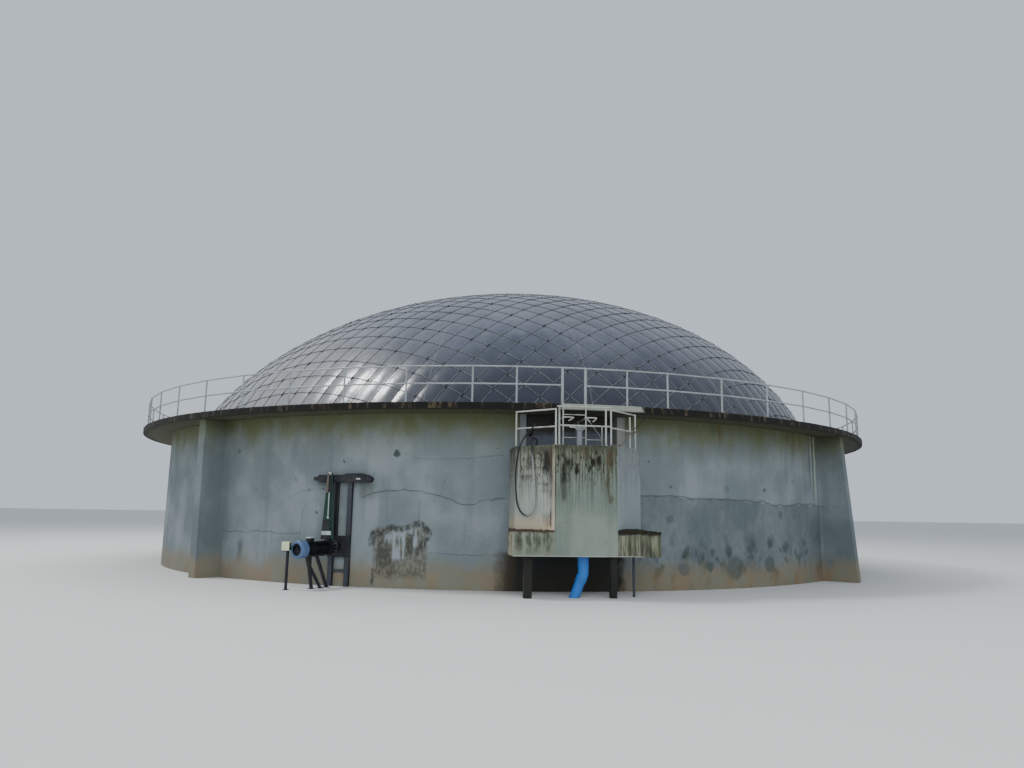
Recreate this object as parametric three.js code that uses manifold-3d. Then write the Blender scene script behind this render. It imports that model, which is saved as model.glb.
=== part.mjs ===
// Biogas digester: a round concrete tank with buttresses, a cantilevered walkway,
// an inflated gas dome under a rope net, an outlet chamber and a side-entry mixer.
// Millimetres, +Z up. The origin is on the tank's axis at ground level.
// Angles are in degrees, from -Y (the chamber's side) towards +X.

import * as THREE from "three";
import { mergeVertices } from "three/addons/utils/BufferGeometryUtils.js";
import Module from "manifold-3d";

const manifoldLibrary = await Module();
manifoldLibrary.setup();

// Driving dimensions of the tank
const JOINT_GAP = 0.3;
const FACET_COUNT = 96;
const BUTTRESS_OFFSET = -1.5;
const WALL_RADIUS = 11870;
const WALL_THICKNESS = 300;
const WALL_HEIGHT = 4090;
const FLOOR_THICKNESS = 250;
const STRETCH_ANGLE = 45;
const BUTTRESS_WIDTH = 290;
const BUTTRESSES = [
  { name: "buttress_front_right", step: 1, shift: 0, depthTop: 665, depthFoot: 960 },
  { name: "buttress_back_right", step: 3, shift: 0, depthTop: 680, depthFoot: 800 },
  { name: "buttress_back_left", step: 5, shift: 0, depthTop: 680, depthFoot: 800 },
  { name: "buttress_front_left", step: 7, shift: -130, depthTop: 700, depthFoot: 660 },
];

// Driving dimensions of the walkway and its guardrail
const WALKWAY_RADIUS = 12730;
const WALKWAY_INNER_RADIUS = 10950;
const WALKWAY_THICKNESS = 160;
const WALKWAY_TOP = WALL_HEIGHT + WALKWAY_THICKNESS;
const RAIL_RADIUS = 12620;
const RAIL_HEIGHT = 850;
const MID_RAIL_HEIGHT = 440;
const POST_WIDTH = 50;
const GATE_POST_WIDTH = 70;
const RAIL_WIDTH = 42;
const RAIL_END_GAP = 4;
const GATE_POST_ANGLES = [-1.7, 0.75];
const FRONT_POST_ANGLES = [-6.5, 5.35];
const REGULAR_POST_START = 10.1;
const REGULAR_POST_END = 348.9;
const REGULAR_POST_COUNT = 49;

// Driving dimensions of the gas dome and its net
const DOME_RADIUS = 11094;
const DOME_RISE = 5546;
const DOME_START_ANGLE = 18.53;
const DOME_LEAN = 525;
const DOME_LEAN_ANGLE = 82.3;
const DOME_THICKNESS = 60;
const DOME_SEGMENTS = 48;
const DOME_RINGS = 10;
const CLAMP_WIDTH = 110;
const CLAMP_HEIGHT = 55;
const NET_MESH = 629;
const NET_ROPES_PER_MAIN_ROPE = 3;
const NET_TURN = 47.5;
const NET_OFFSET_ALONG = 1.63;
const NET_OFFSET_ACROSS = -0.45;
const NET_ROPE_WIDTH = 44;
const NET_ROPE_DEPTH = 22;
const NET_LIFT = 20;
const NET_EDGE_MARGIN = 230;
const NET_EDGE_EXTRA = 26;

// Driving dimensions of the outlet chamber
const CHAMBER_FRONT = 13400;
const CHAMBER_FRONT_HALF = 690;
const CHAMBER_HALF = 1450;
const CHAMBER_WALL = 150;
const CHAMBER_TOP = 3250;
const CHAMBER_DECK_THICKNESS = 120;
const PLATFORM_LEFT = -1590;
const PLATFORM_RIGHT = 1670;
const PLATFORM_BOTTOM = 870;
const PLATFORM_TOP = 1390;
const LEDGE_DEPTH = 800;
const PLATFORM_LEGS = [
  { x: -1235, y: -13200, width: 175 },
  { x: 640, y: -13200, width: 150 },
  { x: 1175, y: -12950, width: 50 },
];
const OPENING_LEFT = -5.95;
const OPENING_RIGHT = 6.4;
const JAMB_LEFT = -5.2;
const JAMB_RIGHT = 5.4;
const JAMB_PROUD = 60;
const OPENING_PANEL_RADIUS = 11650;
const OPENING_PANEL_THICKNESS = 30;
const CHAMBER_POST_WIDTH = 42;
const CHAMBER_RAIL_WIDTH = 36;
const CHAMBER_RAIL_PANELS = [
  {
    name: "chamber_guardrail_left",
    ends: [[-1436, -12621], [-672, -13355]],
    shortPosts: [],
    top: 4050,
    rails: [{ level: 4030, before: 0, after: 0 }, { level: 3650, before: 0, after: 0 }],
  },
  {
    name: "chamber_guardrail_front",
    ends: [[-598, -13355], [448, -13355]],
    shortPosts: [],
    top: 4115,
    rails: [{ level: 4097, before: 50, after: 115 }, { level: 3680, before: 0, after: 92 }],
  },
  {
    name: "chamber_guardrail_right",
    ends: [[565, -13355], [1341, -12621]],
    shortPosts: [[1165, -12787, 3975]],
    top: 4065,
    rails: [{ level: 4045, before: 0, after: 0 }, { level: 3650, before: 0, after: 0 }],
  },
];
const LADDER_LEFT = -392;
const LADDER_RIGHT = 134;
const LADDER_RADIUS = 12790;
const LADDER_STILE_WIDTH = 34;
const LADDER_RUNG_WIDTH = 28;
const LADDER_FIRST_RUNG = 220;
const LADDER_RUNG_SPACING = 260;
const LADDER_ARM_HEIGHT = 3920;
const LADDER_BRACE_REACH = 480;
const LADDER_BRACE_DROP = 300;
const LADDER_SIDE_POST = { x: 508, top: 3740, bar: 3430 };
const STANDPIPE = { x: -68, y: -13020, radius: 62, top: 3690, bellRadius: 80, bellHeight: 90 };
const STANDPIPE_BRANCH = { radius: 38, reach: 135, start: 3580, end: 3680 };
const OUTLET_PIPE = { radius: 108, bend: [10, -13050, 500], foot: [-200, -13090] };
const OUTLET_SOCKET_RADIUS = 122;

// Driving dimensions of the mixer
const MIXER_ANGLE = -26.6;
const FRAME_SHIFT = -20;
const CHANNEL_SPACING = 445;
const CHANNEL_WIDTH = 120;
const CHANNEL_DEPTH = 70;
const BEAM_DEPTH = 130;
const BEAM_OUTLINE = [
  [-775, 2475],
  [-660, 2475],
  [-630, 2432],
  [715, 2432],
  [785, 2480],
  [785, 2545],
  [690, 2600],
  [500, 2648],
  [140, 2645],
  [0, 2612],
  [-640, 2610],
  [-660, 2568],
  [-775, 2565],
];
const PLATE_LEFT = -340;
const PLATE_RIGHT = 262;
const PLATE_DEPTH = 90;
const PLATE_BOTTOM = 680;
const PLATE_TOP = 1170;
const CROSSBAR_HEIGHT = 360;
const CROSSBAR_WIDTH = 60;
const FLANK_RIGHT = -107;
const FLANK_DEPTH = 40;
const MIXER_AXIS_HEIGHT = 930;
const MIXER_AXIS_SHIFT = -20;
const MIXER_AXIS_TURN = -13;
const MIXER_AXIS_TILT = 2;
const NECK_RADIUS = 85;
const GEARBOX_RADIUS = 210;
const GEARBOX_START = 250;
const GEARBOX_LENGTH = 230;
const MOTOR_RADIUS = 150;
const MOTOR_LENGTH = 670;
const COWL_RADIUS = 205;
const COWL_LENGTH = 240;
const TERMINAL_BOX = { middle: 980, length: 240, width: 180, top: 265, height: 150 };
const SADDLE = { start: 560, end: 1100, drop: 162, width: 100, thickness: 40 };
const LEG_WIDTH = 62;
const LEGS = [
  [[1060, 730], [974, 478], [870, 0]],
  [[960, 730], [960, 500], [600, 0]],
  [[760, 730], [631, 478], [400, 0]],
];
const STAY_FOOT = { distance: 455, width: 345 };
const STAY_HEAD = { x: -300, z: 2660, width: 118 };
const STAY_THICKNESS = 50;

// Driving dimensions of the control box and of the hose
const CONTROL_BOX = { angle: -29.1, radius: 13200, width: 205, depth: 75, height: 194, bottom: 863 };
const CONTROL_POST_WIDTH = 50;
const CONTROL_POST_COVER = 30;
const HOSE_RADIUS = 16;
const HOSE_STEPS = 50;
const HOSE_LEAD = 3.5;
const HOSE_START = { angle: -4.6, height: 3620 };
const HOSE_END = { x: -980, y: -12722 };
const HOSE_GLAND_RADIUS = 36;
const HOSE_GLAND_LENGTH = 60;
const HOSE_GLAND_ROOT = 20;
const HOSE_ROUTE = [
  [-960, -12000, 3645],
  [-980, -12300, 3678],
  [-1002, -12620, 3696],
  [-1030, -12880, 3718],
  [-1054, -12992, 3720],
  [-1112, -13032, 3668],
  [-1195, -12940, 3560],
  [-1275, -12856, 3450],
  [-1345, -12784, 3310],
  [-1395, -12733, 3140],
  [-1425, -12703, 2930],
  [-1440, -12688, 2700],
  [-1440, -12688, 2420],
  [-1428, -12700, 2160],
  [-1395, -12733, 1940],
  [-1330, -12798, 1795],
  [-1245, -12883, 1728],
  [-1162, -12966, 1740],
  [-1103, -13025, 1822],
  [-1074, -13054, 1960],
  [-1070, -13058, 2160],
  [-1085, -13043, 2450],
  [-1108, -13020, 2760],
  [-1132, -12998, 3040],
  [-1143, -12982, 3220],
  [-1138, -12945, 3335],
  [-1110, -12890, 3405],
  [-1060, -12820, 3430],
  [-1002, -12748, 3412],
];

// Materials, one for each sub-part, in the real finishes' colours
const FINISHES = {
  concrete: { color: 0x77817f, roughness: 0.92, metalness: 0 },
  mossyConcrete: { color: 0x3b3d38, roughness: 0.95, metalness: 0 },
  streakedConcrete: { color: 0x9aa197, roughness: 0.92, metalness: 0 },
  membrane: { color: 0x4a505c, roughness: 0.32, metalness: 0 },
  rope: { color: 0x5d5e5c, roughness: 0.85, metalness: 0 },
  galvanised: { color: 0xb4bab9, roughness: 0.5, metalness: 0.7 },
  darkSteel: { color: 0x2c3036, roughness: 0.65, metalness: 0.4 },
  motorBlue: { color: 0x39527e, roughness: 0.45, metalness: 0.3 },
  motorBlack: { color: 0x17181c, roughness: 0.55, metalness: 0.3 },
  creamPlastic: { color: 0xc9c9a8, roughness: 0.6, metalness: 0 },
  bluePlastic: { color: 0x2f7fc4, roughness: 0.5, metalness: 0 },
  whitePlastic: { color: 0xb9bdb8, roughness: 0.6, metalness: 0 },
  rubber: { color: 0x1c1c1d, roughness: 0.7, metalness: 0 },
};

// How far a joined or cutting piece runs past the face that trims it
const OVERRUN = 400;

const model = new THREE.Group();

const radians = THREE.MathUtils.degToRad;

// Adds one named sub-part, turned about the tank's axis by an angle
function addPart(name, geometry, finish, angle = 0) {
  const material = new THREE.MeshStandardMaterial(FINISHES[finish]);
  const mesh = new THREE.Mesh(geometry, material);
  mesh.name = name;
  mesh.rotation.z = radians(angle);
  model.add(mesh);
}

// A point on a circle about the tank's axis
function pointAt(radius, angle) {
  return new THREE.Vector2(radius * Math.sin(radians(angle)), -radius * Math.cos(radians(angle)));
}

// Facets of the round walls share their corners' angles, and each buttress faces the middle of a facet
const FACET_STEP = 360 / FACET_COUNT;
const FACET_START = BUTTRESS_OFFSET - FACET_STEP / 2;

function facetRadius(radius, angle) {
  const turns = (angle - FACET_START) / FACET_STEP;
  const fromMiddle = (turns - Math.floor(turns) - 0.5) * FACET_STEP;
  return (radius * Math.cos(radians(FACET_STEP / 2))) / Math.cos(radians(fromMiddle));
}

function facetedArc(radius, startAngle, endAngle) {
  const points = [pointAt(facetRadius(radius, startAngle), startAngle)];
  const firstCorner = Math.floor((startAngle - FACET_START) / FACET_STEP) + 1;
  const lastCorner = Math.ceil((endAngle - FACET_START) / FACET_STEP) - 1;
  for (let corner = firstCorner; corner <= lastCorner; corner += 1) {
    points.push(pointAt(radius, FACET_START + corner * FACET_STEP));
  }
  points.push(pointAt(facetRadius(radius, endAngle), endAngle));
  return points;
}

function facetedCircle(radius) {
  const points = [];
  for (let corner = 0; corner < FACET_COUNT; corner += 1) {
    points.push(pointAt(radius, FACET_START + corner * FACET_STEP));
  }
  return points;
}

// An upright prism on an outline
function prism(points, bottom, top) {
  const geometry = new THREE.ExtrudeGeometry(new THREE.Shape(points), {
    depth: top - bottom,
    bevelEnabled: false,
  });
  return geometry.translate(0, 0, bottom);
}

// A stretch of a round wall or ring, with a joint's gap at each end
function ringStretch(innerRadius, outerRadius, startAngle, endAngle, bottom, top) {
  const gapAngle = THREE.MathUtils.radToDeg(JOINT_GAP / 2 / innerRadius);
  const start = startAngle + gapAngle;
  const end = endAngle - gapAngle;
  const inner = facetedArc(innerRadius, start, end).reverse();
  return prism([...facetedArc(outerRadius, start, end), ...inner], bottom, top);
}

// A box between two corners
function block(low, high) {
  const size = high.map((value, axis) => value - low[axis]);
  const centre = high.map((value, axis) => (value + low[axis]) / 2);
  return new THREE.BoxGeometry(...size).translate(...centre);
}

// A straight bar of rectangular section between two points
function bar(start, end, width, depth = width) {
  const from = new THREE.Vector3(...start);
  const to = new THREE.Vector3(...end);
  const direction = to.clone().sub(from);
  const geometry = new THREE.BoxGeometry(width, depth, direction.length());
  const side = new THREE.Vector3(-direction.y, direction.x, 0);
  if (side.lengthSq() === 0) {
    side.set(1, 0, 0);
  }
  side.normalize();
  const along = direction.clone().normalize();
  const across = new THREE.Vector3().crossVectors(along, side);
  const frame = new THREE.Matrix4().makeBasis(side, across, along);
  frame.setPosition(from.add(to).multiplyScalar(0.5));
  return geometry.applyMatrix4(frame);
}

// A round bar between two points
function roundBar(start, end, radius, sides = 16) {
  const from = new THREE.Vector3(...start);
  const to = new THREE.Vector3(...end);
  const direction = to.clone().sub(from);
  const geometry = new THREE.CylinderGeometry(radius, radius, direction.length(), sides);
  const turn = new THREE.Quaternion().setFromUnitVectors(
    new THREE.Vector3(0, 1, 0),
    direction.normalize(),
  );
  const middle = from.add(to).multiplyScalar(0.5);
  return geometry.applyQuaternion(turn).translate(middle.x, middle.y, middle.z);
}

// Joins and cuts of closed geometries
const MERGE_TOLERANCE = 1e-3;

function solidOf(geometry) {
  const bare = geometry.clone();
  bare.deleteAttribute("normal");
  bare.deleteAttribute("uv");
  const merged = mergeVertices(bare, MERGE_TOLERANCE);
  return new manifoldLibrary.Manifold(
    new manifoldLibrary.Mesh({
      numProp: 3,
      vertProperties: new Float32Array(merged.attributes.position.array),
      triVerts: new Uint32Array(merged.index.array),
    }),
  );
}

function geometryOf(solid) {
  const mesh = solid.getMesh();
  const geometry = new THREE.BufferGeometry();
  geometry.setAttribute("position", new THREE.BufferAttribute(new Float32Array(mesh.vertProperties), 3));
  geometry.setIndex(new THREE.BufferAttribute(new Uint32Array(mesh.triVerts), 1));
  geometry.computeVertexNormals();
  return geometry;
}

function join(geometries) {
  return geometries.map(solidOf).reduce((sum, solid) => sum.add(solid));
}

// The space that the tank's wall fills, with a joint's gap around it
const tankOutline = facetedCircle(WALL_RADIUS + JOINT_GAP);
const tankEnvelope = solidOf(prism(tankOutline, -OVERRUN, WALL_HEIGHT + OVERRUN));

function againstTank(solid) {
  return solid.subtract(tankEnvelope);
}

// The ground under the pieces that stand in it or reach down to it
const groundReach = 2 * WALL_RADIUS;
const ground = solidOf(block([-groundReach, -groundReach, -OVERRUN], [groundReach, groundReach, 0]));

// Tank: floor, wall, buttresses and walkway
function buildTank() {
  const innerRadius = WALL_RADIUS - WALL_THICKNESS;
  const floorOutline = facetedCircle(innerRadius - JOINT_GAP);
  addPart("tank_floor", prism(floorOutline, 0, FLOOR_THICKNESS), "concrete");

  const corner = (step) => BUTTRESS_OFFSET + step * STRETCH_ANGLE;
  const stretches = [
    ["wall_front_left", corner(-1), OPENING_LEFT, WALL_HEIGHT],
    ["wall_front_middle", OPENING_LEFT, OPENING_RIGHT, CHAMBER_TOP],
    ["wall_front_right", OPENING_RIGHT, corner(1), WALL_HEIGHT],
    ["wall_right_front", corner(1), corner(2), WALL_HEIGHT],
    ["wall_right_back", corner(2), corner(3), WALL_HEIGHT],
    ["wall_back_right", corner(3), corner(4), WALL_HEIGHT],
    ["wall_back_left", corner(4), corner(5), WALL_HEIGHT],
    ["wall_left_back", corner(5), corner(6), WALL_HEIGHT],
    ["wall_left_front", corner(6), corner(7), WALL_HEIGHT],
  ];
  for (const [name, start, end, top] of stretches) {
    addPart(name, ringStretch(innerRadius, WALL_RADIUS, start, end, 0, top), "concrete");
  }

  const buttressRoot = facetRadius(WALL_RADIUS, BUTTRESS_OFFSET) + JOINT_GAP;
  for (const { name, step, shift, depthTop, depthFoot } of BUTTRESSES) {
    const profile = new THREE.Shape([
      new THREE.Vector2(-buttressRoot - depthFoot, 0),
      new THREE.Vector2(-buttressRoot, 0),
      new THREE.Vector2(-buttressRoot, WALL_HEIGHT),
      new THREE.Vector2(-buttressRoot - depthTop, WALL_HEIGHT),
    ]);
    const geometry = new THREE.ExtrudeGeometry(profile, {
      depth: BUTTRESS_WIDTH,
      bevelEnabled: false,
    });
    geometry.translate(0, 0, shift - BUTTRESS_WIDTH / 2);
    geometry.applyMatrix4(
      new THREE.Matrix4().makeBasis(
        new THREE.Vector3(0, 1, 0),
        new THREE.Vector3(0, 0, 1),
        new THREE.Vector3(1, 0, 0),
      ),
    );
    addPart(name, geometry, "concrete", corner(step));
  }

  const quarters = ["walkway_front_left", "walkway_front_right", "walkway_back_right", "walkway_back_left"];
  quarters.forEach((name, index) => {
    const start = BUTTRESS_OFFSET - 90 + index * 90;
    const stretch = ringStretch(
      WALKWAY_INNER_RADIUS,
      WALKWAY_RADIUS,
      start,
      start + 90,
      WALL_HEIGHT,
      WALKWAY_TOP,
    );
    addPart(name, stretch, "mossyConcrete");
  });
}

// Guardrail of the walkway: posts with a top rail and a middle rail, straight from post to post
function guardrailStretch(posts, nextPost) {
  const pieces = [];
  posts.forEach((post, index) => {
    const following = index + 1 < posts.length ? posts[index + 1] : nextPost;
    const isLast = index + 1 === posts.length;
    const here = pointAt(RAIL_RADIUS, post.angle);
    const there = pointAt(RAIL_RADIUS, following.angle);
    const width = post.gate ? GATE_POST_WIDTH : POST_WIDTH;
    const upright = block(
      [-width / 2, -RAIL_RADIUS - width / 2, WALKWAY_TOP],
      [width / 2, -RAIL_RADIUS + width / 2, WALKWAY_TOP + RAIL_HEIGHT + RAIL_WIDTH / 2],
    );
    pieces.push(upright.rotateZ(radians(post.angle)));
    const direction = there.clone().sub(here).normalize();
    const halfPost = (following.gate ? GATE_POST_WIDTH : POST_WIDTH) / 2;
    const shortening = isLast ? halfPost + RAIL_END_GAP : 0;
    const end = there.clone().addScaledVector(direction, -shortening);
    const gateBay = post.gate && following.gate;
    for (const height of gateBay ? [RAIL_HEIGHT] : [RAIL_HEIGHT, MID_RAIL_HEIGHT]) {
      const level = WALKWAY_TOP + height;
      pieces.push(bar([here.x, here.y, level], [end.x, end.y, level], RAIL_WIDTH));
    }
  });
  return geometryOf(join(pieces));
}

function buildGuardrails() {
  const front = [
    { angle: FRONT_POST_ANGLES[0], gate: false },
    { angle: GATE_POST_ANGLES[0], gate: true },
    { angle: GATE_POST_ANGLES[1], gate: true },
    { angle: FRONT_POST_ANGLES[1], gate: false },
  ];
  const spacing = (REGULAR_POST_END - REGULAR_POST_START) / (REGULAR_POST_COUNT - 1);
  const regular = [];
  for (let index = 0; index < REGULAR_POST_COUNT; index += 1) {
    regular.push({ angle: REGULAR_POST_START + index * spacing, gate: false });
  }
  addPart("guardrail_front", guardrailStretch(front, regular[0]), "galvanised");
  const names = [
    "guardrail_front_right",
    "guardrail_back_right",
    "guardrail_back",
    "guardrail_back_left",
    "guardrail_front_left",
  ];
  const share = Math.ceil(regular.length / names.length);
  names.forEach((name, index) => {
    const posts = regular.slice(index * share, (index + 1) * share);
    const nextPost = regular[(index + 1) * share] ?? front[0];
    addPart(name, guardrailStretch(posts, nextPost), "galvanised");
  });
}

// The gas dome is a cap of an ellipsoid of revolution that the gas and the wind push a little sideways
const domeCut = radians(DOME_START_ANGLE);
const domeHalfWidth = DOME_RADIUS / Math.cos(domeCut);
const domeHalfHeight = DOME_RISE / (1 - Math.sin(domeCut));
const domeCentreHeight = WALKWAY_TOP - domeHalfHeight * Math.sin(domeCut);
const leanDirection = pointAt(1, DOME_LEAN_ANGLE);

function domeProfilePoint(angle, inset) {
  const across = (domeHalfWidth - inset) * Math.cos(angle);
  const up = domeCentreHeight + (domeHalfHeight - inset) * Math.sin(angle);
  return new THREE.Vector2(across, up);
}

function leanAt(height) {
  return (DOME_LEAN * (height - WALKWAY_TOP)) / DOME_RISE;
}

// The meridian from the apex down to the walkway, at a depth below the skin
function domeMeridian(inset) {
  const cut = Math.asin((WALKWAY_TOP - domeCentreHeight) / (domeHalfHeight - inset));
  const points = [new THREE.Vector2(0, domeCentreHeight + domeHalfHeight - inset)];
  for (let ring = 1; ring <= DOME_RINGS; ring += 1) {
    points.push(domeProfilePoint(Math.PI / 2 + ((cut - Math.PI / 2) * ring) / DOME_RINGS, inset));
  }
  return points;
}

// A profile turned about the tank's axis, leaning as the dome leans
function leaningLathe(profile) {
  const geometry = new THREE.LatheGeometry(profile, DOME_SEGMENTS).rotateX(Math.PI / 2);
  const position = geometry.attributes.position;
  for (let index = 0; index < position.count; index += 1) {
    const lean = leanAt(position.getZ(index));
    position.setX(index, position.getX(index) + lean * leanDirection.x);
    position.setY(index, position.getY(index) + lean * leanDirection.y);
  }
  return geometry;
}

function buildDome() {
  const profile = [...domeMeridian(DOME_THICKNESS), ...domeMeridian(0).reverse()];
  addPart("dome_membrane", geometryOf(solidOf(leaningLathe(profile))), "membrane");

  const clampInner = DOME_RADIUS + JOINT_GAP;
  const clampOuter = clampInner + CLAMP_WIDTH;
  const clampTop = WALKWAY_TOP + CLAMP_HEIGHT;
  const clampSection = [
    new THREE.Vector2(clampInner, WALKWAY_TOP),
    new THREE.Vector2(clampOuter, WALKWAY_TOP),
    new THREE.Vector2(clampOuter, clampTop),
    new THREE.Vector2(clampInner, clampTop),
    new THREE.Vector2(clampInner, WALKWAY_TOP),
  ];
  const clamp = new THREE.LatheGeometry(clampSection, DOME_SEGMENTS).rotateX(Math.PI / 2);
  addPart("dome_clamp_ring", geometryOf(solidOf(clamp)), "darkSteel");
}

// Length of the dome's meridian from the apex, tabulated against the ellipse's angle
const meridian = [{ length: 0, angle: Math.PI / 2 }];
const MERIDIAN_STEPS = 400;
for (let step = 1; step <= MERIDIAN_STEPS; step += 1) {
  const before = domeProfilePoint(meridian[step - 1].angle, 0);
  const angle = Math.PI / 2 + ((domeCut - Math.PI / 2) * step) / MERIDIAN_STEPS;
  const length = meridian[step - 1].length + before.distanceTo(domeProfilePoint(angle, 0));
  meridian.push({ length, angle });
}
const meridianLength = meridian[MERIDIAN_STEPS].length;

function meridianAngle(length) {
  const after = Math.max(1, meridian.findIndex((entry) => entry.length >= length));
  const low = meridian[after - 1];
  const high = meridian[after];
  return low.angle + ((high.angle - low.angle) * (length - low.length)) / (high.length - low.length);
}

// A place in the net, laid out flat, put on the dome at a height above its skin
const netAlong = pointAt(1, NET_TURN);
const netAcross = pointAt(1, NET_TURN + 90);

function onDome(along, across, lift) {
  const flat = netAlong.clone().multiplyScalar(along).addScaledVector(netAcross, across);
  const reach = Math.min(flat.length(), meridianLength);
  const angle = meridianAngle(reach);
  const profile = domeProfilePoint(angle, 0);
  const slope = new THREE.Vector2(
    Math.cos(angle) / domeHalfWidth,
    Math.sin(angle) / domeHalfHeight,
  ).normalize();
  const outward = flat.normalize();
  const radius = profile.x + slope.x * lift;
  const lean = leanAt(profile.y);
  return [
    outward.x * radius + leanDirection.x * lean,
    outward.y * radius + leanDirection.y * lean,
    profile.y + slope.y * lift,
  ];
}

// The net's main ropes: two crossing families of flat ropes, one mesh fused at the crossings,
// with an edge rope that lies along the clamp ring
function buildNet() {
  const spacing = NET_MESH * NET_ROPES_PER_MAIN_ROPE;
  const half = NET_ROPE_WIDTH / 2;
  const reach = meridianLength - NET_EDGE_MARGIN;
  const offsetAlong = NET_OFFSET_ALONG * NET_MESH;
  const offsetAcross = NET_OFFSET_ACROSS * NET_MESH;
  const positions = [];
  const triangles = [];
  const vertexIndex = new Map();
  const vertex = (along, across, side) => {
    const key = `${along.toFixed(2)},${across.toFixed(2)},${side}`;
    if (!vertexIndex.has(key)) {
      vertexIndex.set(key, positions.length / 3);
      positions.push(...onDome(along, across, NET_LIFT + (side === "top" ? NET_ROPE_DEPTH : 0)));
    }
    return vertexIndex.get(key);
  };
  const edgeUse = new Map();
  const quad = (corners) => {
    const top = corners.map(([along, across]) => vertex(along, across, "top"));
    const bottom = corners.map(([along, across]) => vertex(along, across, "bottom"));
    triangles.push(top[0], top[1], top[2], top[0], top[2], top[3]);
    triangles.push(bottom[2], bottom[1], bottom[0], bottom[3], bottom[2], bottom[0]);
    corners.forEach((corner, index) => {
      const next = (index + 1) % corners.length;
      const key = [top[index], top[next]].sort((a, b) => a - b).join("-");
      edgeUse.set(key, edgeUse.has(key) ? null : [top[index], top[next], bottom[index], bottom[next]]);
    });
  };
  const rectangle = (alongLow, alongHigh, acrossLow, acrossHigh) => {
    quad([
      [alongLow, acrossLow],
      [alongHigh, acrossLow],
      [alongHigh, acrossHigh],
      [alongLow, acrossHigh],
    ]);
  };
  const ropeStretch = (from, to, place) => {
    const middle = (from + to) / 2;
    place(from, middle);
    place(middle, to);
  };
  const count = Math.ceil(reach / spacing) + 1;
  const line = (index, offset) => index * spacing + offset;
  const inside = (along, across) => Math.hypot(along, across) < reach - half * 3;
  for (let i = -count; i <= count; i += 1) {
    for (let j = -count; j <= count; j += 1) {
      const along = line(i, offsetAlong);
      const across = line(j, offsetAcross);
      if (!inside(along, across)) {
        continue;
      }
      rectangle(along - half, along + half, across - half, across + half);
      const alongEnd = Math.sqrt(reach * reach - across * across);
      const acrossEnd = Math.sqrt(reach * reach - along * along);
      const forward = inside(along + spacing, across) ? along + spacing - half : alongEnd;
      const sideways = inside(along, across + spacing) ? across + spacing - half : acrossEnd;
      const lengthwise = (from, to) => rectangle(from, to, across - half, across + half);
      const crosswise = (from, to) => rectangle(along - half, along + half, from, to);
      ropeStretch(along + half, forward, lengthwise);
      ropeStretch(across + half, sideways, crosswise);
      if (!inside(along - spacing, across)) {
        ropeStretch(-alongEnd, along - half, lengthwise);
      }
      if (!inside(along, across - spacing)) {
        ropeStretch(-acrossEnd, across - half, crosswise);
      }
    }
  }
  for (const edge of edgeUse.values()) {
    if (edge) {
      const [topHere, topNext, bottomHere, bottomNext] = edge;
      triangles.push(topNext, topHere, bottomHere, topNext, bottomHere, bottomNext);
    }
  }
  const lattice = new THREE.BufferGeometry();
  lattice.setAttribute("position", new THREE.Float32BufferAttribute(positions, 3));
  lattice.setIndex(triangles);

  const net = solidOf(lattice).add(solidOf(leaningLathe(netEdgeSection())));
  addPart("rope_net", geometryOf(net), "rope");
}

// Section of the net's edge rope, seated on the dome's lowest facets
function netEdgeSection() {
  const [next, low] = domeMeridian(0).slice(-2);
  const up = next.clone().sub(low).normalize();
  const outward = new THREE.Vector2(up.y, -up.x);
  const top = NET_LIFT + NET_ROPE_DEPTH + NET_EDGE_EXTRA;
  return [
    [-NET_ROPE_WIDTH, JOINT_GAP],
    [-NET_ROPE_WIDTH, top],
    [NET_ROPE_WIDTH, top],
    [NET_ROPE_WIDTH, JOINT_GAP],
    [-NET_ROPE_WIDTH, JOINT_GAP],
  ].map(([along, lift]) =>
    low
      .clone()
      .addScaledVector(up, NET_EDGE_MARGIN + along)
      .addScaledVector(outward, lift),
  );
}

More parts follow.
